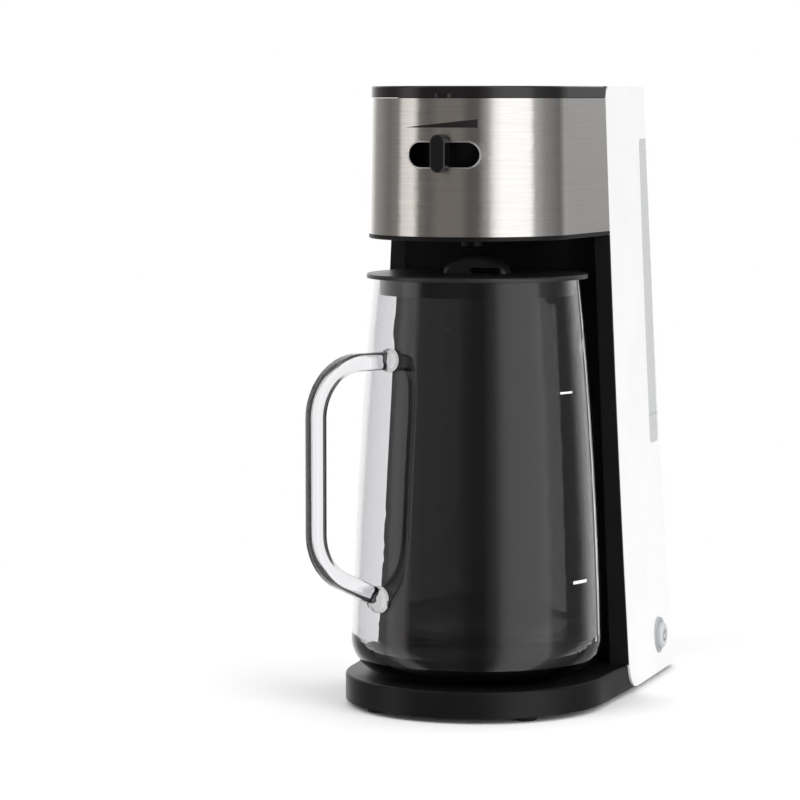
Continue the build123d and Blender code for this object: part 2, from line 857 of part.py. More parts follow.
# ------------------------------------------------------------------ head
with BuildPart() as head_shell:
    with BuildSketch(level(head_bottom)):
        add(head_outline(head_bottom, -trim_proud, panel_front - seam))
    extrude(amount=trim_height)
    add(shell_form(0, head_bottom, band_top))
    fillet(head_shell.faces().sort_by(Axis.Z)[0].edges().sort_by(Axis.Y)[:3], radius=trim_round)
    add(shell_form(wall, head_bottom + wall, height), mode=Mode.SUBTRACT)
    # Ledge that the deck rests on
    add(shell_form(wall - shell_ledge, deck_z, height), mode=Mode.SUBTRACT)
    # Pivot for the selector lever round the basket's outlet
    with BuildSketch(level(head_bottom + wall)):
        with Locations((0, head_centre)):
            Circle(pivot_radius)
    extrude(amount=basket_foot - head_bottom - wall - slide_gap)
    with BuildSketch(level(head_bottom)):
        with Locations((0, head_centre)):
            Circle(outlet_radius + slide_gap)
    extrude(amount=basket_foot - head_bottom, mode=Mode.SUBTRACT)
    # Notch in the back wall for the lid's water duct, and the tongue that holds the riser hose
    with BuildSketch(level(hose_top)):
        with Locations((0, shell_back)):
            Rectangle(spray_duct + 4 * slide_gap, 4 * wall)
    extrude(amount=height - hose_top, mode=Mode.SUBTRACT)
    with BuildSketch(level(deck_z)):
        tongue_start = shell_back - wall + shell_ledge
        with Locations((0, (tongue_start + riser_y) / 2)):
            Rectangle(2 * (hose_radius + wall), riser_y - tongue_start)
        with Locations((0, riser_y)):
            Circle(hose_radius + wall)
            Circle(hose_radius + slide_gap, mode=Mode.SUBTRACT)
    extrude(amount=deck_thickness)
    # Slot for the lever's stem
    add(slot_prism(bezel_rim), mode=Mode.SUBTRACT)
head_shell.part.label = "head_shell"
export_step(head_shell.part, "parts/head_shell.step")

with BuildPart() as steel_band:
    add(head_band(steel_wall, band_bottom, band_top))
    add(slot_prism(0), mode=Mode.SUBTRACT)
steel_band.part.label = "steel_band"
export_step(steel_band.part, "parts/steel_band.step")

with BuildPart() as slot_bezel:
    add(head_block(-bezel_proud, band_bottom, band_top))
    add(head_block(steel_wall + seam, band_bottom, band_top), mode=Mode.SUBTRACT)
    add(slot_prism(seam / 2), mode=Mode.INTERSECT)
    add(slot_prism(bezel_rim), mode=Mode.SUBTRACT)
slot_bezel.part.label = "slot_bezel"
export_step(slot_bezel.part, "parts/slot_bezel.step")

with BuildPart() as head_deck:
    add(shell_form(wall - shell_ledge + seam, deck_z, deck_top))
    with BuildSketch(level(deck_z)):
        with Locations((0, head_centre)):
            Circle(basket_top_radius + 2 * slide_gap)
    extrude(amount=deck_thickness, mode=Mode.SUBTRACT)
head_deck.part.label = "head_deck"
export_step(head_deck.part, "parts/head_deck.step")

with BuildPart() as brew_basket:
    floor_top = basket_foot + basket_wall
    with BuildSketch(upright(head_centre)):
        with BuildLine():
            Polyline(
                (outlet_radius - basket_wall, basket_foot - outlet_drop),
                (outlet_radius, basket_foot - outlet_drop),
                (outlet_radius, basket_foot),
                (basket_foot_radius, basket_foot),
                (basket_top_radius, deck_top),
                (basket_flange_radius, deck_top),
                (basket_flange_radius, deck_top + basket_flange),
                (basket_top_radius - basket_wall, deck_top + basket_flange),
                (basket_foot_radius - basket_wall, floor_top),
                (outlet_radius - basket_wall, floor_top),
                close=True,
            )
        make_face()
    revolve(axis=post_axis(0, head_centre))
brew_basket.part.label = "brew_basket"
export_step(brew_basket.part, "parts/brew_basket.step")

with BuildPart() as tea_filter:
    rim_z = deck_top + basket_flange
    cup_z = basket_foot + basket_wall + filter_lift
    cup_top = basket_top_radius - basket_wall - slide_gap
    cup_foot = basket_foot_radius - basket_wall - 2 * slide_gap
    with BuildSketch(upright(head_centre)):
        with BuildLine():
            Polyline(
                (0, cup_z),
                (cup_foot, cup_z),
                (cup_top, rim_z),
                (cup_top + filter_lip, rim_z),
                (cup_top + filter_lip, rim_z + filter_wall),
                (cup_top - filter_wall, rim_z + filter_wall),
                (cup_foot - filter_wall, cup_z + filter_wall),
                (0, cup_z + filter_wall),
                close=True,
            )
        make_face()
    revolve(axis=post_axis(0, head_centre))
    # Mesh windows round the wall
    window_pitch = 2 * pi * (cup_top + cup_foot) / 2 / filter_windows
    window_middle = (cup_z + rim_z) / 2
    with Locations((0, pitcher_y + head_centre, window_middle)):
        with PolarLocations((cup_top + cup_foot) / 2, filter_windows):
            Box(
                2 * overrun,
                window_pitch - filter_rib,
                rim_z - cup_z - 2 * filter_hoop,
                mode=Mode.SUBTRACT,
            )
tea_filter.part.label = "tea_filter"
export_step(tea_filter.part, "parts/tea_filter.step")

with BuildPart() as spray_head:
    with BuildSketch(level(spray_bottom)):
        with Locations((0, head_centre)):
            Circle(spray_radius)
        with Locations((0, (head_centre + riser_y) / 2)):
            Rectangle(spray_duct, riser_y - head_centre)
        with Locations((0, riser_y)):
            Circle(spray_duct / 2)
    extrude(amount=plate_bottom - seam - spray_bottom)
    # Inlet over the riser hose and the shower holes
    with BuildSketch(level(spray_bottom)):
        with Locations((0, riser_y)):
            Circle(hose_bore)
        with Locations((0, head_centre)):
            with PolarLocations(spray_ring, spray_holes):
                Circle(spray_hole)
    extrude(amount=spray_depth, mode=Mode.SUBTRACT)
spray_head.part.label = "spray_head"
export_step(spray_head.part, "parts/spray_head.step")

# ------------------------------------------------------------------ strength selector
lever_z = head_bottom + wall + slide_gap
post_radius = nose_radius(slot_z) - steel_wall - seam - wall - post_gap
knob_back = nose_radius(knob_z - knob_height / 2) + bezel_proud + slide_gap
stem_end = knob_back + knob_depth / 2

with BuildPart() as selector_lever:
    with BuildSketch(level(lever_z)):
        with Locations((0, head_centre)):
            Circle(lever_disc_radius)
        with Locations((0, head_centre - (post_radius - lever_post) / 2)):
            Rectangle(knob_width, post_radius - lever_post)
        with Locations((0, head_centre)):
            Circle(pivot_radius + fit_gap, mode=Mode.SUBTRACT)
    extrude(amount=lever_thickness)
    with BuildSketch(level(lever_z)):
        with Locations((0, head_centre - post_radius + lever_post / 2)):
            Rectangle(knob_width, lever_post)
    extrude(amount=slot_z + stem_height / 2 - lever_z)
    with BuildSketch(upright(head_centre - post_radius + lever_post / 2)):
        with Locations((0, slot_z)):
            Rectangle(stem_width, stem_height)
    extrude(amount=stem_end - post_radius + lever_post / 2)
selector_lever.part.label = "selector_lever"
export_step(selector_lever.part, "parts/selector_lever.step")

with BuildPart() as selector_knob:
    with BuildSketch(upright(head_centre - knob_back)):
        with Locations((0, knob_z)):
            SlotOverall(knob_height, knob_width, rotation=90)
    extrude(amount=knob_depth)
    fillet(selector_knob.faces().sort_by(Axis.Y)[0].edges(), radius=knob_round)
    with BuildSketch(upright(head_centre)):
        with Locations((0, slot_z)):
            Rectangle(stem_width + 2 * fit_gap, stem_height + 2 * fit_gap)
    extrude(amount=stem_end + fit_gap, mode=Mode.SUBTRACT)
selector_knob.part.label = "selector_knob"
export_step(selector_knob.part, "parts/selector_knob.step")

# ------------------------------------------------------------------ top lid and hinge
lid_rear_half = half_width(height) - panel_wall - lid_gap
lid_start = panel_front - overrun  # behind here the lid lies between the panels
lid_step = hinge_y - barrel_radius - 2 * lid_gap  # it is full width up to here, then only the barrel's

with BuildPart() as lid_ears:
    # Ends of the lid's skirt, which fill the panels' rounded front corners
    ear_back = panel_front + panel_crown_radius
    add(column_block(seam, panel_front - 2 * seam, lid_bottom, height))
    split(bisect_by=upright(ear_back), keep=Keep.TOP)
    inner = column_block(
        panel_wall, panel_front - overrun, lid_bottom - overrun, height + overrun
    )
    add(inner, mode=Mode.SUBTRACT)
    with BuildSketch(side(-column_half_bottom)):
        with Locations((ear_back, height - panel_crown_radius)):
            Circle(panel_crown_radius + slide_gap)
    extrude(amount=2 * column_half_bottom, mode=Mode.SUBTRACT)

with BuildPart() as top_lid:
    add(head_block(0, plate_bottom, height))
    with BuildSketch(level(plate_bottom)):
        with Locations((0, (lid_start + lid_step) / 2)):
            Rectangle(2 * lid_rear_half, lid_step - lid_start)
        with Locations((0, hinge_y / 2)):
            Rectangle(2 * barrel_half, hinge_y)
    extrude(amount=lid_plate)
    add(head_band(lid_skirt_wall, lid_bottom, plate_bottom))
    crest = top_lid.faces().sort_by(Axis.Z)[-1].edges().sort_by(Axis.Y)[:3]
    fillet(crest, radius=lid_round)
    add(lid_ears.part)
    # Barrel round the hinge pin
    with BuildSketch(side(-barrel_half)):
        with Locations((hinge_y, hinge_z)):
            Circle(barrel_radius)
    extrude(amount=2 * barrel_half)
    with BuildSketch(side(-barrel_half)):
        with Locations((hinge_y, hinge_z)):
            Circle(hinge_pin_radius + fit_gap)
    extrude(amount=2 * barrel_half, mode=Mode.SUBTRACT)
    # Thumb notch in the front edge
    with BuildSketch(level(lid_bottom)):
        with Locations((0, head_centre - nose_top - notch_radius + notch_depth)):
            Circle(notch_radius)
    extrude(amount=notch_height, mode=Mode.SUBTRACT)
top_lid.part.label = "top_lid"
export_step(top_lid.part, "parts/top_lid.step")

with BuildPart() as hinge_bracket:
    bracket_inset = panel_wall + seam
    bracket_front = hinge_y - barrel_radius
    add(column_block(bracket_inset, bracket_front, height - bracket_drop, height))
    front_edges = hinge_bracket.edges().filter_by(Axis.X).group_by(Axis.Y)[0]
    fillet(front_edges.sort_by(Axis.Z)[-1], radius=barrel_radius - seam)
    # Room for the lid's barrel between the two corner blocks
    with BuildSketch(level(height - bracket_drop)):
        with Locations((0, hinge_y)):
            Rectangle(2 * (barrel_half + slide_gap), 2 * (barrel_radius + lid_gap))
    extrude(amount=bracket_drop + overrun, mode=Mode.SUBTRACT)
    with BuildSketch(side(-hinge_pin_half)):
        with Locations((hinge_y, hinge_z)):
            Circle(hinge_pin_radius + fit_gap / 2)
    extrude(amount=2 * hinge_pin_half, mode=Mode.SUBTRACT)
hinge_bracket.part.label = "hinge_bracket"
export_step(hinge_bracket.part, "parts/hinge_bracket.step")

with BuildPart() as hinge_pin:
    with BuildSketch(side(-hinge_pin_half)):
        with Locations((hinge_y, hinge_z)):
            Circle(hinge_pin_radius)
    extrude(amount=2 * hinge_pin_half)
    chamfer(hinge_pin.edges().filter_by(GeomType.CIRCLE), length=hinge_pin_chamfer)
hinge_pin.part.label = "hinge_pin"
export_step(hinge_pin.part, "parts/hinge_pin.step")

# ------------------------------------------------------------------ pitcher
handle_direction = Vector(-sin(radians(handle_turn)), -cos(radians(handle_turn)), 0)
handle_plane = Plane(
    origin=(0, pitcher_y, 0),
    x_dir=handle_direction,
    z_dir=handle_direction.cross(Vector(0, 0, 1)),
)


def pitcher_form(inset, floor, rim):
    """A solid of the pitcher's flank drawn in by an inset, from a floor to a rim height."""
    foot = pitcher_foot_radius - inset
    corner = pitcher_corner - inset
    with BuildPart() as form:
        with BuildSketch(upright()):
            with BuildLine():
                Line((0, floor), (foot - corner, floor))
                RadiusArc((foot - corner, floor), (foot, floor + corner), -corner)
                ThreePointArc(
                    (foot, floor + corner),
                    (pitcher_belly_radius - inset, pitcher_foot + pitcher_height * pitcher_belly),
                    (pitcher_rim_radius - inset, rim),
                )
                Polyline((pitcher_rim_radius - inset, rim), (0, rim), (0, floor))
            make_face()
        revolve(axis=post_axis())
    return form.part


def spout_form(inset, rim):
    """The pouring lip, which leans out of the rim opposite the handle."""
    outward = -handle_direction
    low = pitcher_rim - spout_drop
    start = outward * (pitcher_rim_radius - spout_root)
    end = outward * (pitcher_rim_radius + spout_reach - spout_width / 2)
    with BuildPart() as lip:
        with BuildSketch(level(low)):
            with Locations((start.X, start.Y)):
                Circle(spout_root_radius - inset)
        with BuildSketch(level(rim)):
            with Locations((end.X, end.Y)):
                Circle(spout_width / 2 - inset)
        loft()
    return lip.part


glass_outside = pitcher_form(0, pitcher_foot, pitcher_rim)

with BuildPart() as pitcher_glass:
    add(glass_outside)
    add(spout_form(0, pitcher_rim))
    cavity = pitcher_form(glass_wall, pitcher_foot + glass_floor, pitcher_rim + rim_overrun)
    add(cavity, mode=Mode.SUBTRACT)
    add(spout_form(spout_wall, pitcher_rim), mode=Mode.SUBTRACT)
pitcher_glass.part.label = "pitcher_glass"
export_step(pitcher_glass.part, "parts/pitcher_glass.step")

with BuildPart() as pitcher_handle:
    arm_x = handle_reach - handle_depth / 2
    arm_top = pitcher_rim - handle_drop
    arm_foot = pitcher_foot + handle_bottom
    arm_start = pitcher_rim_radius - handle_root_top
    lower_start = pitcher_foot_radius - handle_root_foot
    drop = (arm_x - lower_start) * sin(radians(handle_slope)) / cos(radians(handle_slope))
    with BuildLine(handle_plane) as handle_path:
        FilletPolyline(
            (arm_start, arm_top),
            (arm_x, arm_top),
            (arm_x, arm_foot + drop),
            (lower_start, arm_foot),
            radius=handle_bend,
        )
    section = Plane(
        origin=handle_plane.from_local_coords((arm_start, arm_top, 0)),
        x_dir=(0, 0, 1),
        z_dir=handle_direction,
    )
    with BuildSketch(section):
        RectangleRounded(handle_depth, handle_width, handle_round)
    sweep(path=handle_path.wire())
    # Pads where the glass is welded on
    for pad_x, pad_z, pad_radius in (
        (pitcher_rim_radius + pad_top_reach, arm_top, pad_top_radius),
        (pitcher_foot_radius + pad_foot_reach, arm_foot + pad_foot_rise, pad_foot_radius),
    ):
        pad = handle_plane.from_local_coords((pad_x, pad_z, 0))
        with Locations(pad):
            Sphere(pad_radius)
    add(glass_outside, mode=Mode.SUBTRACT)
pitcher_handle.part.label = "pitcher_handle"
export_step(pitcher_handle.part, "parts/pitcher_handle.step")

# ------------------------------------------------------------------ pitcher lid
skirt_radius = pitcher_rim_radius - glass_wall - 2 * slide_gap
spout_angle = degrees(atan2(-handle_direction.Y, -handle_direction.X))

with BuildPart() as lid_grip:
    # Domed grip: half an oval, rounded along both its edges
    grip_foot = lid_top - lid_flange / 2
    with BuildSketch(upright(-grip_depth / 2)):
        with Locations((0, grip_foot)):
            Ellipse(grip_width / 2, lid_top + grip_height - grip_foot)
    extrude(amount=-grip_depth)
    fillet(lid_grip.edges().filter_by(GeomType.ELLIPSE), radius=grip_round)
    split(bisect_by=level(grip_foot), keep=Keep.TOP)

with BuildPart() as pitcher_lid:
    flange_z = pitcher_rim + stand_gap
    with BuildSketch(level(flange_z)):
        Circle(lid_flange_radius)
    extrude(amount=lid_flange)
    fillet(pitcher_lid.edges().group_by(Axis.Z)[-1], radius=lid_flange_round)
    # Lowered rim over the spout
    with BuildSketch(level(lid_top - spout_notch_depth)):
        with Locations(Location((0, 0, 0), (0, 0, spout_angle))):
            with Locations((lid_flange_radius, 0)):
                Rectangle(2 * spout_notch_reach, spout_notch_width)
    extrude(amount=lid_flange, mode=Mode.SUBTRACT)
    # Skirt inside the glass, with a comb that holds the ice back at the spout
    with BuildSketch(level(flange_z - lid_skirt)):
        Circle(skirt_radius)
        Circle(skirt_radius - lid_skirt_thickness, mode=Mode.SUBTRACT)
    extrude(amount=lid_skirt)
    with BuildSketch(level(flange_z - lid_skirt + comb_foot)):
        for step in range(comb_count):
            turn = spout_angle + (step - (comb_count - 1) / 2) * comb_pitch
            with Locations(Location((0, 0, 0), (0, 0, turn))):
                with Locations((skirt_radius, 0)):
                    Rectangle(4 * lid_skirt_thickness, comb_slot)
    extrude(amount=lid_skirt - comb_foot - comb_head, mode=Mode.SUBTRACT)
    # Drain slots in front of the grip, where the tea drips in
    with BuildSketch(level(flange_z)):
        with Locations((0, head_centre - drain_front)):
            with GridLocations(drain_pitch, drain_pitch, drain_count, 1):
                SlotOverall(drain_length, drain_width, rotation=90)
    extrude(amount=lid_flange, mode=Mode.SUBTRACT)
    add(lid_grip.part)
    # Room for a fingertip under the grip
    with BuildSketch(upright(-grip_depth / 2 - overrun)):
        with Locations((grip_gap_x, lid_top + grip_gap_height / 2)):
            RectangleRounded(grip_gap_width, grip_gap_height, grip_gap_height / 3)
    extrude(amount=-(grip_depth + 2 * overrun), mode=Mode.SUBTRACT)
pitcher_lid.part.label = "pitcher_lid"
export_step(pitcher_lid.part, "parts/pitcher_lid.step")
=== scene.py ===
"""Looks of the iced tea maker: its finishes, the fine pieces on its frame, and the studio.

Sizes are in metres in the frame's own axes: +Z up, the front toward -Y and +X to the right.
"""

from __future__ import annotations

import json
import logging
from dataclasses import dataclass
from enum import Enum
from math import cos, pi, radians, sin
from typing import Any

import bmesh
import bpy
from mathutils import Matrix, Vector
from mathutils.bvhtree import BVHTree

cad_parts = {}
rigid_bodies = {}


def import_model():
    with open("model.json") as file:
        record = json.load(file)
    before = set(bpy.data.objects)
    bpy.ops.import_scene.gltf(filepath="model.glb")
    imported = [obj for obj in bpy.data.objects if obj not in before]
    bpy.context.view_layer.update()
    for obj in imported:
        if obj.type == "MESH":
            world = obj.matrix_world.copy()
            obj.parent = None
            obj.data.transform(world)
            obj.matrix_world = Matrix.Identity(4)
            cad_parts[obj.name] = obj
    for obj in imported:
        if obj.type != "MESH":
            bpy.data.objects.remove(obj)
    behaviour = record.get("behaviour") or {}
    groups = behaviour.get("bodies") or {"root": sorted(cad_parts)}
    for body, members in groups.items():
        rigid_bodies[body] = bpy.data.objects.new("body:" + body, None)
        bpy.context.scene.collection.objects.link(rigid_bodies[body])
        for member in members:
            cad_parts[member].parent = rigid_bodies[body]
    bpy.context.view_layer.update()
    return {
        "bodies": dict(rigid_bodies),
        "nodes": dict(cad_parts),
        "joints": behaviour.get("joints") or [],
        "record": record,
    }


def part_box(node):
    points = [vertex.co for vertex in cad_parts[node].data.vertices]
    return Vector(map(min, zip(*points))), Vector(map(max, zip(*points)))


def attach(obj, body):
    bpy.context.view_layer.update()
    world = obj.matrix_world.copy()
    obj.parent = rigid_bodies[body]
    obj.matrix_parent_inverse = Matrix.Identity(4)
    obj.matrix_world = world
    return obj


LOG = logging.getLogger("iced_tea_maker")
MM = 0.001
# Points nearer than this are one point.
TOUCHING = 0.000001
# Edges that turn by more degrees than this stay crisp.
CRISP = 34
Point = tuple[float, float, float]
Span = tuple[float, float]
# Where most of a noise texture's values lie.
NOISE_VALUES: Span = (0.3, 0.7)


# ---------------------------------------------------------------- colour and nodes
def paint(code: str) -> tuple[float, float, float, float]:
    """Turns a colour written as sRGB hex into the linear values that shaders take.

    Args:
        code: Six hex digits, such as "1a1a1a".

    Returns:
        Linear red, green, blue and an alpha of 1.
    """
    levels = [int(code[i : i + 2], 16) / 255 for i in (0, 2, 4)]
    linear = [v / 12.92 if v <= 0.04045 else ((v + 0.055) / 1.055) ** 2.4 for v in levels]
    return (linear[0], linear[1], linear[2], 1.0)


def add_node(
    tree: bpy.types.NodeTree, kind: str, inputs: dict[Any, Any] | None = None, **settings: Any
) -> bpy.types.Node:
    """Adds one node to a tree, with its settings made and its inputs filled or linked.

    Args:
        tree: The tree that gets the node.
        kind: The node's type name.
        inputs: Values or sockets for its inputs, by name or number.
        settings: Properties of the node itself.

    Returns:
        The new node.
    """
    node = tree.nodes.new(kind)
    for key, value in settings.items():
        setattr(node, key, value)
    for key, value in (inputs or {}).items():
        if isinstance(value, bpy.types.NodeSocket):
            tree.links.new(value, node.inputs[key])
        else:
            node.inputs[key].default_value = value
    return node


# ---------------------------------------------------------------- finishes
@dataclass(frozen=True)
class Finish:
    """A surface finish. Each kind adds its own detail to the shader.

    Attributes:
        name: What the finish is called.
        colour: Its colour as sRGB hex.
        roughness: How matt it is, from 0 to 1.
    """

    name: str
    colour: str
    roughness: float

    def material(self) -> bpy.types.Material:
        """Makes the material, or takes the one made before.

        Returns:
            The material.
        """
        made = bpy.data.materials.get(self.name)
        if made:
            return made
        made = bpy.data.materials.new(self.name)
        made.use_nodes = True
        tree = made.node_tree
        tree.nodes.clear()
        shader = add_node(
            tree,
            "ShaderNodeBsdfPrincipled",
            {"Base Color": paint(self.colour), "Roughness": self.roughness},
        )
        add_node(tree, "ShaderNodeOutputMaterial", {"Surface": shader.outputs[0]})
        made.diffuse_color = paint(self.colour)
        self.detail(tree, shader)
        return made

    def detail(self, tree: bpy.types.NodeTree, shader: bpy.types.Node) -> None:
        """Adds what sets this finish apart. A plain finish has nothing more."""

    def pattern(
        self,
        tree: bpy.types.NodeTree,
        grain: Point,
        values: Span = (0.0, 1.0),
        octaves: float = 2.0,
    ) -> bpy.types.NodeSocket:
        """Lays an irregular pattern in the object's own space.

        Args:
            tree: The material's tree.
            grain: Size of one grain along X, Y and Z, in metres.
            values: The pattern's value in its dark grains and in its light ones.
            octaves: How many finer patterns are mixed in.

        Returns:
            The socket with the pattern's value.
        """
        place = add_node(tree, "ShaderNodeTexCoord").outputs["Object"]
        sized = add_node(
            tree, "ShaderNodeMapping", {"Vector": place, "Scale": tuple(1 / size for size in grain)}
        )
        noise = add_node(
            tree,
            "ShaderNodeTexNoise",
            {"Vector": sized.outputs[0], "Scale": 1.0, "Detail": octaves},
        )
        spread = add_node(
            tree,
            "ShaderNodeMapRange",
            {
                "Value": noise.outputs[0],
                "From Min": NOISE_VALUES[0],
                "From Max": NOISE_VALUES[1],
                "To Min": values[0],
                "To Max": values[1],
            },
        )
        return spread.outputs[0]

    def uneven(
        self,
        tree: bpy.types.NodeTree,
        shader: bpy.types.Node,
        grain: Point,
        steps: Span,
        octaves: float = 3.0,
    ) -> None:
        """Varies the gloss from grain to grain.

        Args:
            tree: The material's tree.
            shader: The shader that gets the gloss.
            grain: Size of one grain along X, Y and Z, in metres.
            steps: What the dark and the light grains add to the roughness.
            octaves: How many finer patterns are mixed in.
        """
        values = (self.roughness + steps[0], self.roughness + steps[1])
        gloss = self.pattern(tree, grain, values, octaves)
        tree.links.new(gloss, shader.inputs["Roughness"])

    def relief(
        self, tree: bpy.types.NodeTree, shader: bpy.types.Node, grain: Point, depth: float
    ) -> None:
        """Gives the surface a skin of grains.

        Args:
            tree: The material's tree.
            shader: The shader that gets the skin.
            grain: Size of one grain along X, Y and Z, in metres.
            depth: Height of a grain, in metres.
        """
        height = self.pattern(tree, grain)
        raised = add_node(tree, "ShaderNodeBump", {"Height": height, "Distance": depth})
        tree.links.new(raised.outputs[0], shader.inputs["Normal"])

    def tinted(
        self, tree: bpy.types.NodeTree, shader: bpy.types.Node, grain: Point, shades: Span
    ) -> None:
        """Varies the colour from grain to grain.

        Args:
            tree: The material's tree.
            shader: The shader that gets the colour.
            grain: Size of one grain along X, Y and Z, in metres.
            shades: What the colour is multiplied by in the dark grains and in the light ones.
        """
        base = paint(self.colour)
        mixed = add_node(
            tree, "ShaderNodeMix", {"Factor": self.pattern(tree, grain)}, data_type="RGBA"
        )
        for slot, share in zip((6, 7), shades):
            shade = tuple(min(1.0, level * share) for level in base[:3]) + (1.0,)
            mixed.inputs[slot].default_value = shade
        tree.links.new(mixed.outputs[2], shader.inputs["Base Color"])


@dataclass(frozen=True)
class SatinMoulding(Finish):
    """Moulded plastic with a spark-eroded grain and faint handling marks.

    Attributes:
        grain: Size of a grain, drawn three times as coarse as the real one so that it shows.
        depth: Height of a grain.
        sheen: How strongly it mirrors, as a specular level.
        mark: Size of a handling mark.
        marks: What the marks add to the roughness.
        cloud: Size of a change of shade.
        shades: What the colour is multiplied by.
    """

    grain: float = 0.4 * MM
    depth: float = 0.012 * MM
    sheen: float = 0.4
    mark: float = 45 * MM
    marks: Span = (-0.05, 0.07)
    cloud: float = 30 * MM
    shades: Span = (0.9, 1.12)

    def detail(self, tree: bpy.types.NodeTree, shader: bpy.types.Node) -> None:
        """Adds the grain, the uneven gloss and a faint change of shade.

        Args:
            tree: The material's tree.
            shader: The shader that is detailed.
        """
        shader.inputs["Specular IOR Level"].default_value = self.sheen
        self.uneven(tree, shader, (self.mark,) * 3, self.marks)
        self.tinted(tree, shader, (self.cloud,) * 3, self.shades)
        self.relief(tree, shader, (self.grain,) * 3, self.depth)


@dataclass(frozen=True)
class GlossMoulding(Finish):
    """Polished plastic with a clear sheen and the faint sinks of a large moulding.

    Attributes:
        sink: Distance between sinks.
        depth: Depth of a sink.
        dust: Size of a dusty place.
        dulling: What the dust adds to the roughness.
        cloud: Size of a change of shade.
        shades: What the colour is multiplied by.
    """

    sink: float = 22 * MM
    depth: float = 0.02 * MM
    dust: float = 16 * MM
    dulling: Span = (0.0, 0.06)
    cloud: float = 70 * MM
    shades: Span = (0.975, 1.01)

    def detail(self, tree: bpy.types.NodeTree, shader: bpy.types.Node) -> None:
        """Adds the sinks, fine dust in the gloss and a faint change of shade.

        Args:
            tree: The material's tree.
            shader: The shader that is detailed.
        """
        self.uneven(tree, shader, (self.dust,) * 3, self.dulling, 4.0)
        self.tinted(tree, shader, (self.cloud,) * 3, self.shades)
        self.relief(tree, shader, (self.sink,) * 3, self.depth)


@dataclass(frozen=True)
class BrushedSteel(Finish):
    """Stainless steel brushed round the band, so that its highlights stretch upward.

    Attributes:
        scratch: Height of a brush line, drawn as coarse as the render can show.
        reach: Length of a brush line.
        depth: Depth of a brush line.
        stretch: How far the lines stretch a highlight, from 0 to 1.
        turn: Which way they stretch it, as a share of a full turn.
        gloss: What the lines add to the roughness.
        streak: How many times as long and as high as a line a streak of shade is.
        shades: What the colour is multiplied by.
    """

    scratch: float = 0.24 * MM
    reach: float = 9 * MM
    depth: float = 0.0015 * MM
    stretch: float = 1.0
    turn: float = 0.25
    gloss: Span = (-0.05, 0.08)
    streak: Span = (4.0, 2.0)
    shades: Span = (0.95, 1.03)

    def detail(self, tree: bpy.types.NodeTree, shader: bpy.types.Node) -> None:
        """Adds the brush lines as grooves, streaks of shade and streaks of gloss.

        Args:
            tree: The material's tree.
            shader: The shader that is detailed.
        """
        shader.inputs["Metallic"].default_value = 1.0
        shader.inputs["Anisotropic"].default_value = self.stretch
        shader.inputs["Anisotropic Rotation"].default_value = self.turn
        around = add_node(tree, "ShaderNodeTangent", direction_type="RADIAL", axis="Z")
        tree.links.new(around.outputs[0], shader.inputs["Tangent"])
        line = (self.reach, self.reach, self.scratch)
        length, height = self.reach * self.streak[0], self.scratch * self.streak[1]
        self.uneven(tree, shader, line, self.gloss)
        self.tinted(tree, shader, (length, length, height), self.shades)
        self.relief(tree, shader, line, self.depth)


@dataclass(frozen=True)
class PlatedSteel(Finish):
    """Plated or polished steel with a cloudy sheen.

    Attributes:
        cloud: Size of a cloud in the sheen.
        clouds: What the clouds add to the roughness.
        stain: Size of a change of shade.
        shades: What the colour is multiplied by.
    """

    cloud: float = 3.5 * MM
    clouds: Span = (0.0, 0.15)
    stain: float = 5 * MM
    shades: Span = (0.92, 1.04)

    def detail(self, tree: bpy.types.NodeTree, shader: bpy.types.Node) -> None:
        """Adds the cloudiness of the plating.

        Args:
            tree: The material's tree.
            shader: The shader that is detailed.
        """
        shader.inputs["Metallic"].default_value = 1.0
        self.uneven(tree, shader, (self.cloud,) * 3, self.clouds)
        self.tinted(tree, shader, (self.stain,) * 3, self.shades)


@dataclass(frozen=True)
class CastMetal(Finish):
    """Cast aluminium with a coarse skin.

    Attributes:
        fleck: Size of a duller fleck.
        flecks: What the flecks add to the roughness.
        grain: Size of a grain of the skin.
        depth: Height of a grain.
    """

    fleck: float = 1.5 * MM
    flecks: Span = (-0.1, 0.1)
    grain: float = 1.2 * MM
    depth: float = 0.1 * MM

    def detail(self, tree: bpy.types.NodeTree, shader: bpy.types.Node) -> None:
        """Adds the skin that the mould leaves.

        Args:
            tree: The material's tree.
            shader: The shader that is detailed.
        """
        shader.inputs["Metallic"].default_value = 1.0
        self.uneven(tree, shader, (self.fleck,) * 3, self.flecks, 4.0)
        self.relief(tree, shader, (self.grain,) * 3, self.depth)


@dataclass(frozen=True)
class ClearGlass(Finish):
    """Clear blown glass with the faint ripple that blowing leaves.

    Attributes:
        bending: How strongly it bends light, as an index of refraction.
        ripple: Distance between ripples.
        depth: Height of a ripple.
    """

    bending: float = 1.5
    ripple: float = 34 * MM
    depth: float = 0.015 * MM

    def detail(self, tree: bpy.types.NodeTree, shader: bpy.types.Node) -> None:
        """Makes the shader pass light and adds the ripple.

        Args:
            tree: The material's tree.
            shader: The shader that is detailed.
        """
        shader.inputs["Transmission Weight"].default_value = 1.0
        shader.inputs["IOR"].default_value = self.bending
        self.relief(tree, shader, (self.ripple,) * 3, self.depth)


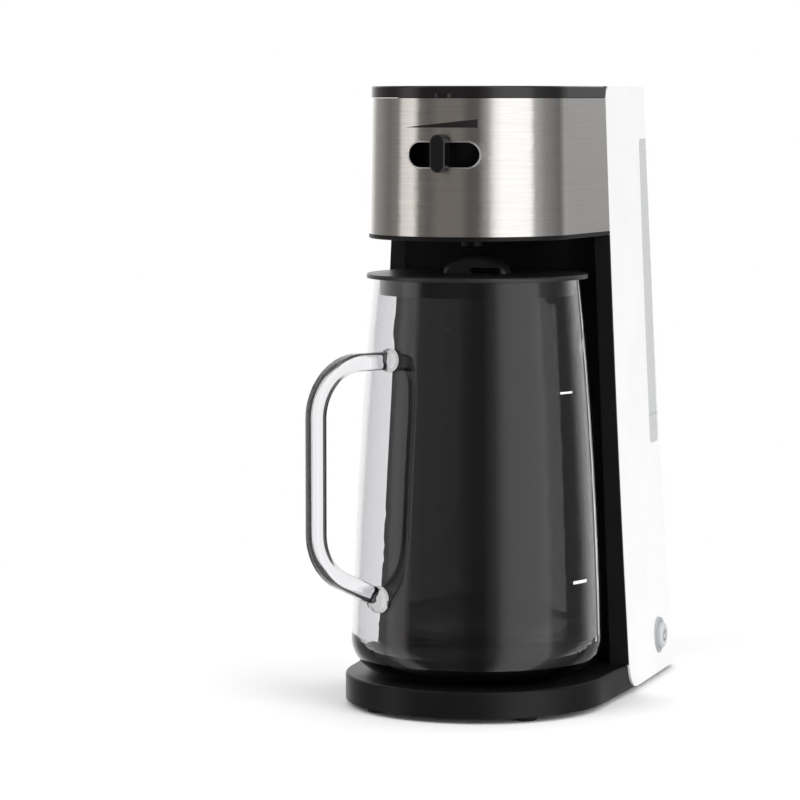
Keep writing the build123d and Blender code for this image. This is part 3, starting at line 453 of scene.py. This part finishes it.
@dataclass(frozen=True)
class ClearPlastic(Finish):
    """Clear or milky moulded plastic.

    Attributes:
        clear: How much of it passes light, from 0 to 1.
        bending: How strongly it bends light, as an index of refraction.
        haze: Size of a hazy place.
        dulling: What the haze adds to the roughness.
    """

    clear: float = 0.8
    bending: float = 1.49
    haze: float = 25 * MM
    dulling: Span = (0.0, 0.06)

    def detail(self, tree: bpy.types.NodeTree, shader: bpy.types.Node) -> None:
        """Makes the shader pass light and adds the haze.

        Args:
            tree: The material's tree.
            shader: The shader that is detailed.
        """
        shader.inputs["Transmission Weight"].default_value = self.clear
        shader.inputs["IOR"].default_value = self.bending
        self.uneven(tree, shader, (self.haze,) * 3, self.dulling, 2.0)


@dataclass(frozen=True)
class SoftRubber(Finish):
    """Rubber or silicone with a dusty bloom.

    Attributes:
        sheen: How strongly it mirrors, as a specular level.
        bloom: Size of a bloomed place.
        shades: What the colour is multiplied by.
        grain: Size of a grain of the skin.
        depth: Height of a grain.
    """

    sheen: float = 0.3
    bloom: float = 6 * MM
    shades: Span = (0.9, 1.35)
    grain: float = 0.7 * MM
    depth: float = 0.02 * MM

    def detail(self, tree: bpy.types.NodeTree, shader: bpy.types.Node) -> None:
        """Adds the bloom and the fine skin.

        Args:
            tree: The material's tree.
            shader: The shader that is detailed.
        """
        shader.inputs["Specular IOR Level"].default_value = self.sheen
        self.tinted(tree, shader, (self.bloom,) * 3, self.shades)
        self.relief(tree, shader, (self.grain,) * 3, self.depth)


class Stock(Enum):
    """The finishes that the maker is built from."""

    # Moulded ABS off a fine-eroded tool: an even, deep black that greys only in grazing light.
    BLACK = SatinMoulding("black_abs_satin", "0d0d0f", 0.38, sheen=0.22)
    # The same plastic in the recess behind the pitcher, a shade more matt. Its colour is painted
    # lighter than the housing's black: painted light that lifts the recess out of its shade.
    BAY_BLACK = SatinMoulding("black_abs_matt", "18181a", 0.5, depth=0.003 * MM, sheen=0.16)
    # Polypropylene with a coarser grain and a soft highlight. Its colour, a shade greyer than the
    # housing, is painted sheen that lightens the lid's top where it is seen at a grazing angle.
    LID_BLACK = SatinMoulding(
        "black_polypropylene", "222223", 0.34, grain=0.6 * MM, depth=0.012 * MM, sheen=0.5
    )
    # Polished ABS with a brown cast: the only black part with a clear reflection.
    LID_GREY = GlossMoulding("dark_abs_polished", "151213", 0.16)
    # Polished ABS of the slider knob: deep black with a narrow highlight.
    KNOB_BLACK = GlossMoulding("black_abs_polished", "0c0c0e", 0.2)
    # Polished white ABS: soft clear reflections over a very even white.
    WHITE = GlossMoulding("white_abs_polished", "f4f4f4", 0.2)
    # Stainless sheet brushed round the band: upright bars of light with ticks at their edges.
    STEEL = BrushedSteel("stainless_steel_brushed", "d2d0cd", 0.18)
    # Chromed trim round the slot: one bright line.
    BEZEL = PlatedSteel("chromed_trim", "e4e4e6", 0.3)
    # Zinc-plated screws and brackets: cloudy grey metal.
    PLATED = PlatedSteel("zinc_plated_steel", "b9b9b6", 0.3)
    # Cast aluminium heater: dull and grainy.
    CAST = CastMetal("aluminium_cast", "b4b4b2", 0.5)
    # Borosilicate glass: clear, with dark edges where it curves away.
    GLASS = ClearGlass("borosilicate_glass", "f4f4f6", 0.0)
    # Milky polycarbonate of the level window: nearly as pale as the panel, and smoother.
    WINDOW = ClearPlastic("polycarbonate_milky", "e9eaec", 0.08, clear=0.35)
    # Clear styrene tank with a grey cast.
    TANK = ClearPlastic("styrene_clear", "e4e9ec", 0.14)
    # Frosted acrylic ring round the button: bright, with the ribs as fine lines.
    RING = ClearPlastic("acrylic_frosted", "e6e8ea", 0.12, clear=0.45)
    # Grey plastic of the push button with a soft sheen. Its pale colour is painted reflection,
    # standing in for the bright light that a mirroring metal button shows.
    BUTTON = SatinMoulding("button_grey_painted_reflection", "c4c6c9", 0.28, sheen=0.6)
    # Rubber feet and cable gland: flat black with a grey bloom.
    RUBBER = SoftRubber("black_rubber", "131313", 0.8)
    # Milky silicone hose: pale and nearly without a highlight.
    SILICONE = SoftRubber("silicone_milky", "d6d4cd", 0.5)
    # Uncoloured polypropylene: waxy off-white.
    NATURAL = SatinMoulding("polypropylene_natural", "c9c7bd", 0.45)
    # Phenolic switch bodies: brown-black and dull.
    PHENOLIC = SatinMoulding("phenolic_brown", "1f1b19", 0.5)
    # Black, white and grey printing inks: flat, a little raised.
    INK = SatinMoulding("black_ink", "161214", 0.55)
    WHITE_INK = SatinMoulding("white_ink", "fafafa", 0.5)
    GREY_INK = SatinMoulding("grey_ink", "5e6166", 0.5)
    # Woven stainless wire of the tea filter: a fine grey net.
    GAUZE = PlatedSteel("stainless_gauze", "c4c2bd", 0.3)

    def material(self) -> bpy.types.Material:
        """The material of this finish."""
        return self.value.material()


# ---------------------------------------------------------------- meshes
def mesh_piece(name: str, body: str, stock: Stock, form: bmesh.types.BMesh) -> bpy.types.Object:
    """Turns a finished form into a piece that rides on a body.

    Args:
        name: The piece's name.
        body: The body that carries it.
        stock: Its finish.
        form: Its mesh, already in place. It is freed here.

    Returns:
        The piece.
    """
    bmesh.ops.remove_doubles(form, verts=form.verts, dist=TOUCHING)
    data = bpy.data.meshes.new(name)
    form.to_mesh(data)
    form.free()
    return finished(name, body, stock, data)


def finished(name: str, body: str, stock: Stock, data: bpy.types.Mesh) -> bpy.types.Object:
    """Links a mesh as a piece, shades it smooth with crisp edges and makes it ride on a body.

    Args:
        name: The piece's name.
        body: The body that carries it.
        stock: Its finish.
        data: Its mesh, already in place.

    Returns:
        The piece.
    """
    piece = bpy.data.objects.new(name, data)
    bpy.context.scene.collection.objects.link(piece)
    data.materials.clear()
    data.materials.append(stock.material())
    data.shade_smooth()
    data.set_sharp_from_angle(angle=radians(CRISP))
    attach(piece, body)
    LOG.info("%s rides on %s", name, body)
    return piece


def dress(frame: dict[str, Any], stock: Stock, *names: str) -> None:
    """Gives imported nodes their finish.

    Args:
        frame: The loaded frame.
        stock: The finish.
        names: The nodes that get it.
    """
    for name in names:
        node = frame["nodes"][name]
        node.data.materials.clear()
        node.data.materials.append(stock.material())
        LOG.info("%s is dressed in %s", name, stock.value.name)


class Kit:
    """Small geometry node trees for what repeats."""

    def __init__(self, name: str) -> None:
        """Starts an empty tree with one geometry output.

        Args:
            name: The tree's name.
        """
        self.tree = bpy.data.node_groups.new(name, "GeometryNodeTree")
        self.tree.interface.new_socket(
            "Geometry", in_out="OUTPUT", socket_type="NodeSocketGeometry"
        )
        self.source = add_node(self.tree, "NodeGroupInput")
        self.values: dict[str, Any] = {}

    def size(self, name: str, kind: str, value: Any) -> bpy.types.NodeSocket:
        """Adds a named input to the tree.

        Args:
            name: The input's name.
            kind: Its socket type, such as "NodeSocketFloat".
            value: Its value.

        Returns:
            The socket that gives the value inside the tree.
        """
        self.tree.interface.new_socket(name, in_out="INPUT", socket_type=kind)
        self.values[name] = value
        return self.source.outputs[name]

    def piece(
        self, name: str, body: str, stock: Stock, shape: bpy.types.NodeSocket
    ) -> bpy.types.Object:
        """Ends the tree, runs it and returns what it makes as a plain mesh on a body.

        Args:
            name: The piece's name.
            body: The body that carries it.
            stock: Its finish.
            shape: The tree's geometry before it is realized.

        Returns:
            The piece.
        """
        real = add_node(self.tree, "GeometryNodeRealizeInstances", {0: shape})
        painted = add_node(
            self.tree, "GeometryNodeSetMaterial", {0: real.outputs[0], "Material": stock.material()}
        )
        add_node(self.tree, "NodeGroupOutput", {0: painted.outputs[0]})
        carrier = bpy.data.objects.new(name + "_carrier", bpy.data.meshes.new(name + "_carrier"))
        bpy.context.scene.collection.objects.link(carrier)
        modifier = carrier.modifiers.new(name, "NODES")
        modifier.node_group = self.tree
        for item in self.tree.interface.items_tree:
            if item.in_out == "INPUT":
                modifier[item.identifier] = self.values[item.name]
        carrier.update_tag()
        bpy.context.view_layer.update()
        graph = bpy.context.evaluated_depsgraph_get()
        data = bpy.data.meshes.new_from_object(carrier.evaluated_get(graph))
        bpy.data.objects.remove(carrier)
        return finished(name, body, stock, data)


def strip(form: bmesh.types.BMesh, rows: list[list[Vector]]) -> None:
    """Lays a strip of faces between neighbouring rows of points.

    Args:
        form: The mesh that gets the strip.
        rows: The rows in order, with two points each.
    """
    pairs = [[form.verts.new(point) for point in row] for row in rows]
    for (a, b), (c, d) in zip(pairs, pairs[1:]):
        form.faces.new((a, c, d, b))


# ---------------------------------------------------------------- sub-assemblies
@dataclass
class Layout:
    """Places that several sub-assemblies share, read from the frame.

    Attributes:
        frame: The loaded frame.
    """

    frame: dict[str, Any]

    def axis(self, node: str) -> Vector:
        """The upright axis through the middle of a node, at its foot."""
        low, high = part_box(node)
        return Vector(((low.x + high.x) / 2, (low.y + high.y) / 2, low.z))

    @property
    def pitcher(self) -> Vector:
        """The pitcher's axis where it stands, which is a radius in from its round back."""
        low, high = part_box("pitcher_glass")
        return Vector(((low.x + high.x) / 2, high.y - (high.x - low.x) / 2, low.z))

    def on_skin(self, node: str, centre: Vector, away: Vector, proud: float) -> Vector:
        """Finds the outermost point of a node in one direction.

        Args:
            node: The node that carries a print.
            centre: A point inside it.
            away: Direction from that point, level and of length 1.
            proud: How far the print stands off the node.

        Returns:
            The point, moved out by that much.
        """
        data = self.frame["nodes"][node].data
        tree = BVHTree.FromPolygons(
            [vertex.co for vertex in data.vertices], [face.vertices for face in data.polygons]
        )
        hit = tree.ray_cast(centre + away, -away)[0]
        return hit + away * proud


@dataclass
class Housing:
    """The base, the column, its panels and the water side.

    Attributes:
        layout: Shared places.
    """

    layout: Layout

    def dress(self) -> None:
        """Gives every piece of the housing its finish."""
        frame = self.layout.frame
        dress(frame, Stock.BLACK, "base_housing", "bottom_cover", "rear_cover", "tank_shelf")
        dress(frame, Stock.BAY_BLACK, "column_front")
        dress(frame, Stock.WHITE, "left_side_panel", "right_side_panel")
        dress(frame, Stock.RUBBER, "rubber_feet", "cord_gland")
        dress(frame, Stock.PLATED, "screws", "heater_bracket", "thermal_fuse", "hinge_pin")
        dress(frame, Stock.WINDOW, "level_window")
        dress(frame, Stock.TANK, "water_tank")
        dress(frame, Stock.NATURAL, "tank_valve")
        dress(frame, Stock.SILICONE, "supply_hose", "riser_hose")
        dress(frame, Stock.CAST, "heater")
        dress(frame, Stock.PHENOLIC, "thermostat", "power_switch")


@dataclass
class PowerControl:
    """The push button in the right panel, with its frosted ribbed ring.

    Attributes:
        layout: Shared places.
        ribs: Ribs round the ring.
        rib_margin: What a rib leaves free of the ring's width.
        rib_width: Width of a rib.
        rib_depth: Its depth.
        rib_sink: How far its middle lies behind the ring's face.
        sign_radius: Radius of the on and off sign.
        sign_line: Width of its line.
        sign_gap: Half of the gap at its top, in degrees.
        sign_steps: Faces round it.
        stroke: Foot and top of its upright stroke, from its middle.
        ink: How far the ink stands off the button.
    """

    layout: Layout
    ribs: int = 54
    rib_margin: float = 0.9 * MM
    rib_width: float = 0.45 * MM
    rib_depth: float = 0.8 * MM
    rib_sink: float = 0.25 * MM
    sign_radius: float = 3.5 * MM
    sign_line: float = 1.2 * MM
    sign_gap: float = 38.0
    sign_steps: int = 40
    stroke: Span = (0.8 * MM, 4.2 * MM)
    ink: float = 0.03 * MM

    def dress(self) -> None:
        """Gives the button and its ring their finishes."""
        dress(self.layout.frame, Stock.RING, "button_ring")
        dress(self.layout.frame, Stock.BUTTON, "power_button")

    def ring_ribs(self) -> bpy.types.Object:
        """Makes the fine ribs on the ring's face.

        Returns:
            The piece.
        """
        low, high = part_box("button_ring")
        outer = high.z - low.z
        button_low, button_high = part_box("power_button")
        inner = button_high.z - button_low.z
        length = (outer - inner) / 2 - self.rib_margin
        centre = (high.x - self.rib_sink, (low.y + high.y) / 2, (low.z + high.z) / 2)
        kit = Kit("ring_ribs")
        count = kit.size("Ribs", "NodeSocketInt", self.ribs)
        radius = kit.size("Radius", "NodeSocketFloat", (outer + inner) / 4)
        rib = kit.size("Rib", "NodeSocketVector", (length, self.rib_width, self.rib_depth))
        place = kit.size("Place", "NodeSocketVector", centre)
        tree = kit.tree
        ring = add_node(tree, "GeometryNodeMeshCircle", {"Vertices": count, "Radius": radius})
        cube = add_node(tree, "GeometryNodeMeshCube", {"Size": rib})
        spot = add_node(tree, "GeometryNodeInputPosition")
        turn = add_node(tree, "FunctionNodeAlignEulerToVector", {"Vector": spot.outputs[0]})
        many = add_node(
            tree,
            "GeometryNodeInstanceOnPoints",
            {"Points": ring.outputs[0], "Instance": cube.outputs[0], "Rotation": turn.outputs[0]},
        )
        stood = add_node(
            tree,
            "GeometryNodeTransform",
            {"Geometry": many.outputs[0], "Translation": place, "Rotation": (0.0, pi / 2, 0.0)},
        )
        return kit.piece("ring_ribs", "housing", Stock.RING, stood.outputs[0])

    def sign(self) -> bpy.types.Object:
        """Draws the usual on and off sign on the button's face: a broken ring and a stroke.

        Returns:
            The piece.
        """
        low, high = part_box("power_button")
        centre = Vector((high.x + self.ink, (low.y + high.y) / 2, (low.z + high.z) / 2))
        gap = radians(self.sign_gap)
        rows = []
        for i in range(self.sign_steps + 1):
            turn = pi / 2 + gap + (2 * pi - 2 * gap) * i / self.sign_steps
            rows.append(
                [
                    centre + Vector((0, reach * cos(turn), reach * sin(turn)))
                    for reach in (self.sign_radius, self.sign_radius - self.sign_line)
                ]
            )
        half = self.sign_line / 2
        upright = [[centre + Vector((0, y, z)) for y in (-half, half)] for z in self.stroke]
        form = bmesh.new()
        strip(form, rows)
        strip(form, upright[::-1])
        return mesh_piece("power_sign", "button", Stock.GREY_INK, form)


@dataclass
class Head:
    """The steel-banded head with its slider, the top lid and the brewing parts.

    Attributes:
        layout: Shared places.
        wedge_left: X of the strength mark's tip.
        wedge_right: X of its thick end.
        wedge_foot: Its lower edge above the band's lower edge.
        wedge_height: Its height at the thick end.
        wedge_tip: Its height at the tip.
        wedge_steps: Faces along it.
        ink: How far the ink stands off the steel.
        gauze_pitch: Mesh size of the tea filter.
        gauze_wire: Radius of its wire.
        gauze_insets: How far the gauze lies inside the filter, at its foot and at its top.
        gauze_margin: How far the gauze ends below and above, inside the filter.
    """

    layout: Layout
    wedge_left: float = -22.3 * MM
    wedge_right: float = 18.4 * MM
    wedge_foot: float = 57.9 * MM
    wedge_height: float = 4.4 * MM
    wedge_tip: float = 0.02 * MM
    wedge_steps: int = 36
    ink: float = 0.06 * MM
    gauze_pitch: float = 1.7 * MM
    gauze_wire: float = 0.13 * MM
    gauze_insets: Span = (8.8 * MM, 3.6 * MM)
    gauze_margin: float = 2 * MM

    def dress(self) -> None:
        """Gives every piece of the head its finish."""
        frame = self.layout.frame
        dress(frame, Stock.STEEL, "steel_band")
        dress(frame, Stock.BLACK, "head_shell", "head_deck", "selector_lever", "spray_head")
        dress(frame, Stock.BLACK, "brew_basket", "tea_filter")
        dress(frame, Stock.BEZEL, "slot_bezel")
        dress(frame, Stock.KNOB_BLACK, "selector_knob")
        dress(frame, Stock.LID_GREY, "top_lid", "hinge_bracket")

    def strength_wedge(self) -> bpy.types.Object:
        """Prints the wedge that shows weak to strong on the steel over the slider.

        Returns:
            The piece.
        """
        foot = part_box("steel_band")[0].z + self.wedge_foot
        front = Vector((0, -1, 0))
        rows = []
        for i in range(self.wedge_steps + 1):
            share = i / self.wedge_steps
            x = self.wedge_left + (self.wedge_right - self.wedge_left) * share
            top = foot + self.wedge_height * share + self.wedge_tip
            rows.append(
                [
                    self.layout.on_skin("steel_band", Vector((x, 0, z)), front, self.ink)
                    for z in (foot, top)
                ]
            )
        form = bmesh.new()
        strip(form, rows)
        return mesh_piece("strength_wedge", "housing", Stock.INK, form)

    def filter_gauze(self) -> bpy.types.Object:
        """Weaves the fine gauze behind the windows of the tea filter.

        Returns:
            The piece.
        """
        low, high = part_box("tea_filter")
        centre = self.layout.axis("tea_filter")
        half = (high.x - low.x) / 2
        foot_radius, top_radius = (half - inset for inset in self.gauze_insets)
        wires = int(2 * pi * foot_radius / self.gauze_pitch)
        kit = Kit("filter_gauze")
        around = kit.size("Wires around", "NodeSocketInt", wires)
        rows = kit.size("Rows", "NodeSocketInt", int((high.z - low.z) / self.gauze_pitch))
        foot = kit.size("Foot radius", "NodeSocketFloat", foot_radius)
        top = kit.size("Top radius", "NodeSocketFloat", top_radius)
        depth = kit.size("Depth", "NodeSocketFloat", high.z - low.z - 2 * self.gauze_margin)
        wire = kit.size("Wire radius", "NodeSocketFloat", self.gauze_wire)
        place = kit.size(
            "Place", "NodeSocketVector", (centre.x, centre.y, low.z + self.gauze_margin)
        )
        tree = kit.tree
        cone = add_node(
            tree,
            "GeometryNodeMeshCone",
            {
                "Vertices": around,
                "Side Segments": rows,
                "Radius Top": top,
                "Radius Bottom": foot,
                "Depth": depth,
            },
            fill_type="NONE",
        )
        lines = add_node(tree, "GeometryNodeMeshToCurve", {0: cone.outputs[0]})
        profile = add_node(
            tree, "GeometryNodeCurvePrimitiveCircle", {"Resolution": 3, "Radius": wire}
        )
        woven = add_node(
            tree,
            "GeometryNodeCurveToMesh",
            {"Curve": lines.outputs[0], "Profile Curve": profile.outputs[0]},
        )
        stood = add_node(
            tree, "GeometryNodeTransform", {"Geometry": woven.outputs[0], "Translation": place}
        )
        return kit.piece("filter_gauze", "housing", Stock.GAUZE, stood.outputs[0])


@dataclass
class Pitcher:
    """The glass pitcher with its handle, level marks and loose lid.

    Attributes:
        layout: Shared places.
        marks: Height and thickness of each level mark, and where it starts and ends, in degrees
            from the front.
        mark_steps: Faces along each mark.
        ink: How far the ink stands off the glass.
    """

    layout: Layout
    marks: tuple[tuple[float, float, float, float], ...] = (
        (175.3 * MM, 1.1 * MM, 62.5, 72.1),
        (72.6 * MM, 1.7 * MM, 66.4, 77.4),
    )
    mark_steps: int = 10
    ink: float = 0.06 * MM

    def dress(self) -> None:
        """Gives the pitcher its finishes."""
        dress(self.layout.frame, Stock.GLASS, "pitcher_glass", "pitcher_handle")
        dress(self.layout.frame, Stock.LID_BLACK, "pitcher_lid")

    def level_marks(self) -> bpy.types.Object:
        """Prints the plain white level bars on the glass.

        Returns:
            The piece.
        """
        axis = self.layout.pitcher
        form = bmesh.new()
        for height, line, start, end in self.marks:
            rows = []
            for i in range(self.mark_steps + 1):
                turn = radians(start + (end - start) * i / self.mark_steps)
                away = Vector((sin(turn), -cos(turn), 0.0))
                edges = (height - line / 2, height + line / 2)
                rows.append(
                    [
                        self.layout.on_skin(
                            "pitcher_glass", Vector((axis.x, axis.y, z)), away, self.ink
                        )
                        for z in edges
                    ]
                )
            strip(form, rows)
        return mesh_piece("level_marks", "pitcher", Stock.WHITE_INK, form)


@dataclass(frozen=True)
class SoftBox:
    """A soft box that lights the object but shows in no reflection.

    Attributes:
        name: Its name.
        place: Where it hangs.
        aim: What it points at.
        size: Its width and height.
        power: Its power in watts.
    """

    name: str
    place: Point
    aim: Point
    size: Span
    power: float

    def hang(self) -> None:
        """Hangs the soft box."""
        light = bpy.data.lights.new(self.name, "AREA")
        light.shape = "RECTANGLE"
        light.size, light.size_y = self.size
        light.energy = self.power
        lamp = bpy.data.objects.new(self.name, light)
        lamp.location = self.place
        toward = Vector(self.aim) - Vector(self.place)
        lamp.rotation_euler = toward.to_track_quat("-Z", "Y").to_euler()
        lamp.visible_glossy = False
        lamp.visible_transmission = False
        bpy.context.scene.collection.objects.link(lamp)


class Studio:
    """The camera, the lamps, the surround and the floor."""

    # The lens and its film in millimetres, how far the camera is turned and tilted down in
    # degrees, where it stands from the pitcher's axis, and how high above the floor.
    LENS = 156.0
    SENSOR = 36.0
    HEADING = 17.99
    TILT = 5.0
    STAND = (0.5469, -1.8216, 0.3342)
    FARTHEST = 50
    LAMPS = (
        SoftBox("key", (-1.5, -2.2, 2.2), (0, 0, 0.15), (1.8, 1.8), 34),
        SoftBox("fill", (2.4, -1.4, 1.3), (0, 0, 0.15), (1.6, 1.8), 40),
        SoftBox("top", (0.2, 0.4, 2.6), (0, 0, 0), (2.0, 2.0), 16),
    )
    # What matt surfaces get from the surround and from the far floor.
    SURROUND_LIGHT = 0.72
    FLOOR_LIGHT = 0.7
    # The floor's radius, the faces round it, and where it starts and ends to fade away.
    FLOOR_RADIUS = 9.0
    FLOOR_SIDES = 96
    FADE = (0.22, 0.62)
    # What shiny surfaces see: a dim warm room in front, a long soft box at the right and a
    # narrow one at the left. Each stop is a direction in degrees from the front, plus toward
    # the right, then a brightness and a warmth.
    MIRRORED = (
        (-180, 1.0, 0.0), (-152, 1.4, 0.0), (-136, 1.0, 0.2), (-122, 0.42, 0.4), (-92, 0.2, 0.5),
        (-76, 0.3, 0.6), (-70, 1.0, 0.6), (-54, 1.15, 0.6), (-46, 0.2, 0.8), (-34, 0.14, 0.6),
        (-22, 0.22, 1.0), (2, 0.22, 1.0), (13, 0.13, 0.6), (23, 0.14, 0.6), (34, 0.5, 0.3),
        (42, 1.3, 0.0), (50, 1.6, 0.0), (85, 1.6, 0.0), (91, 0.6, 0.0), (106, 0.34, 0.1),
        (132, 0.18, 0.0), (145, 0.5, 0.0), (152, 0.42, 0.0), (164, 0.6, 0.0), (180, 1.0, 0.0),
    )  # fmt: skip
    # What is seen through glass: the white backdrop behind and at the left, dark flags that
    # draw the glass's edges, and a dim front.
    SEEN_THROUGH = (
        (-180, 1.0, 0.0), (-122, 1.0, 0.0), (-100, 0.72, 0.1), (-66, 0.6, 0.2), (-52, 0.05, 0.2),
        (20, 0.06, 0.2), (50, 0.16, 0.2), (80, 0.3, 0.2), (112, 0.08, 0.2), (128, 0.12, 0.2),
        (146, 1.0, 0.0), (180, 1.0, 0.0),
    )  # fmt: skip
    # What green and blue lose in full warmth.
    WARM_LOSS = (0.07, 0.12)

    def __init__(self, axis: Vector) -> None:
        """Keeps the pitcher's axis, from which the camera's place was worked out."""
        self.axis = axis

    def camera(self) -> None:
        """Puts the camera where the photograph was taken from."""
        lens = bpy.data.cameras.new("camera")
        lens.lens = self.LENS
        lens.sensor_width = self.SENSOR
        lens.clip_end = self.FARTHEST
        camera = bpy.data.objects.new("camera", lens)
        across, back, up = self.STAND
        camera.location = (self.axis.x + across, self.axis.y + back, up)
        camera.rotation_euler = (radians(90 - self.TILT), 0.0, radians(self.HEADING))
        bpy.context.scene.collection.objects.link(camera)
        bpy.context.scene.camera = camera

    def lamps(self) -> None:
        """Hangs the soft boxes at a plain level."""
        for box in self.LAMPS:
            box.hang()

    def surround(self) -> None:
        """Makes the white surround, which shiny surfaces see as soft boxes with darker gaps."""
        world = bpy.data.worlds.new("surround")
        bpy.context.scene.world = world
        world.use_nodes = True
        tree = world.node_tree
        tree.nodes.clear()
        toward = add_node(tree, "ShaderNodeTexCoord").outputs["Generated"]
        parts = add_node(tree, "ShaderNodeSeparateXYZ", {0: toward})
        front = add_node(
            tree, "ShaderNodeMath", {0: parts.outputs["Y"], 1: -1.0}, operation="MULTIPLY"
        )
        angle = add_node(
            tree,
            "ShaderNodeMath",
            {0: parts.outputs["X"], 1: front.outputs[0]},
            operation="ARCTAN2",
        )
        share = add_node(
            tree,
            "ShaderNodeMapRange",
            {"Value": angle.outputs[0], "From Min": -pi, "From Max": pi},
        )
        path = add_node(tree, "ShaderNodeLightPath")
        white = paint("ffffff")
        soft = add_node(
            tree, "ShaderNodeBackground", {"Color": white, "Strength": self.SURROUND_LIGHT}
        )
        plain = add_node(tree, "ShaderNodeBackground", {"Color": white, "Strength": 1.0})
        shiny = self.ring_of_light(tree, share.outputs[0], self.MIRRORED)
        through = self.ring_of_light(tree, share.outputs[0], self.SEEN_THROUGH)
        whole = soft.outputs[0]
        for ray, light in (("Is Glossy Ray", shiny), ("Is Transmission Ray", through)):
            mixed = add_node(
                tree, "ShaderNodeMixShader", {0: path.outputs[ray], 1: whole, 2: light}
            )
            whole = mixed.outputs[0]
        seen = add_node(
            tree,
            "ShaderNodeMixShader",
            {0: path.outputs["Is Camera Ray"], 1: whole, 2: plain.outputs[0]},
        )
        add_node(tree, "ShaderNodeOutputWorld", {"Surface": seen.outputs[0]})

    def ring_of_light(
        self,
        tree: bpy.types.NodeTree,
        share: bpy.types.NodeSocket,
        stops: tuple[tuple[float, float, float], ...],
    ) -> bpy.types.NodeSocket:
        """Paints the surround's brightness round the object.

        Args:
            tree: The world's tree.
            share: Direction round the object, from 0 at the back over the left to 1.
            stops: Direction from the front in degrees, plus toward the right, then brightness
                and warmth.

        Returns:
            The light's socket.
        """
        ramp = add_node(tree, "ShaderNodeValToRGB", {"Fac": share})
        elements = ramp.color_ramp.elements
        while len(elements) > 1:
            elements.remove(elements[-1])
        for turn, level, warmth in stops:
            element = elements[0] if turn == -180 else elements.new((turn + 180) / 360)
            green, blue = (level * (1 - loss * warmth) for loss in self.WARM_LOSS)
            element.color = (level, green, blue, 1.0)
        light = add_node(tree, "ShaderNodeBackground", {"Color": ramp.outputs[0], "Strength": 1.0})
        return light.outputs[0]

    def floor(self) -> None:
        """Lays the white floor, which keeps the object's shadow and fades into the backdrop."""
        form = bmesh.new()
        bmesh.ops.create_circle(
            form, cap_ends=True, segments=self.FLOOR_SIDES, radius=self.FLOOR_RADIUS
        )
        data = bpy.data.meshes.new("floor")
        form.to_mesh(data)
        form.free()
        floor = bpy.data.objects.new("floor", data)
        bpy.context.scene.collection.objects.link(floor)
        made = bpy.data.materials.new("white_sweep")
        made.use_nodes = True
        tree = made.node_tree
        tree.nodes.clear()
        near = add_node(tree, "ShaderNodeBsdfDiffuse", {"Color": paint("fbfbfb")})
        seen = add_node(tree, "ShaderNodeLightPath").outputs["Is Camera Ray"]
        lit = add_node(tree, "ShaderNodeMath", {0: seen, 1: self.FLOOR_LIGHT}, operation="MAXIMUM")
        white = add_node(
            tree, "ShaderNodeEmission", {"Color": paint("ffffff"), "Strength": lit.outputs[0]}
        )
        place = add_node(tree, "ShaderNodeTexCoord").outputs["Object"]
        away = add_node(tree, "ShaderNodeVectorMath", {0: place}, operation="LENGTH")
        fade = add_node(
            tree,
            "ShaderNodeMapRange",
            {
                "Value": away.outputs["Value"],
                "From Min": self.FADE[0],
                "From Max": self.FADE[1],
            },
            interpolation_type="SMOOTHSTEP",
        )
        both = add_node(
            tree,
            "ShaderNodeMixShader",
            {0: fade.outputs[0], 1: near.outputs[0], 2: white.outputs[0]},
        )
        add_node(tree, "ShaderNodeOutputMaterial", {"Surface": both.outputs[0]})
        data.materials.append(made)
        floor.visible_glossy = False
        floor.visible_transmission = False

    def build(self) -> None:
        """Sets the whole studio."""
        self.camera()
        self.lamps()
        self.surround()
        self.floor()


def main() -> None:
    """Builds the maker's looks from its frame."""
    logging.basicConfig(level=logging.INFO, format="%(message)s")
    for leftover in list(bpy.data.objects):
        bpy.data.objects.remove(leftover)
    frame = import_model()
    layout = Layout(frame)
    Studio(layout.pitcher).build()
    Housing(layout).dress()
    power = PowerControl(layout)
    power.dress()
    power.ring_ribs()
    power.sign()
    head = Head(layout)
    head.dress()
    head.strength_wedge()
    head.filter_gauze()
    pitcher = Pitcher(layout)
    pitcher.dress()
    pitcher.level_marks()
    bpy.context.scene.view_settings.view_transform = "Standard"


if __name__ == "__main__":
    main()
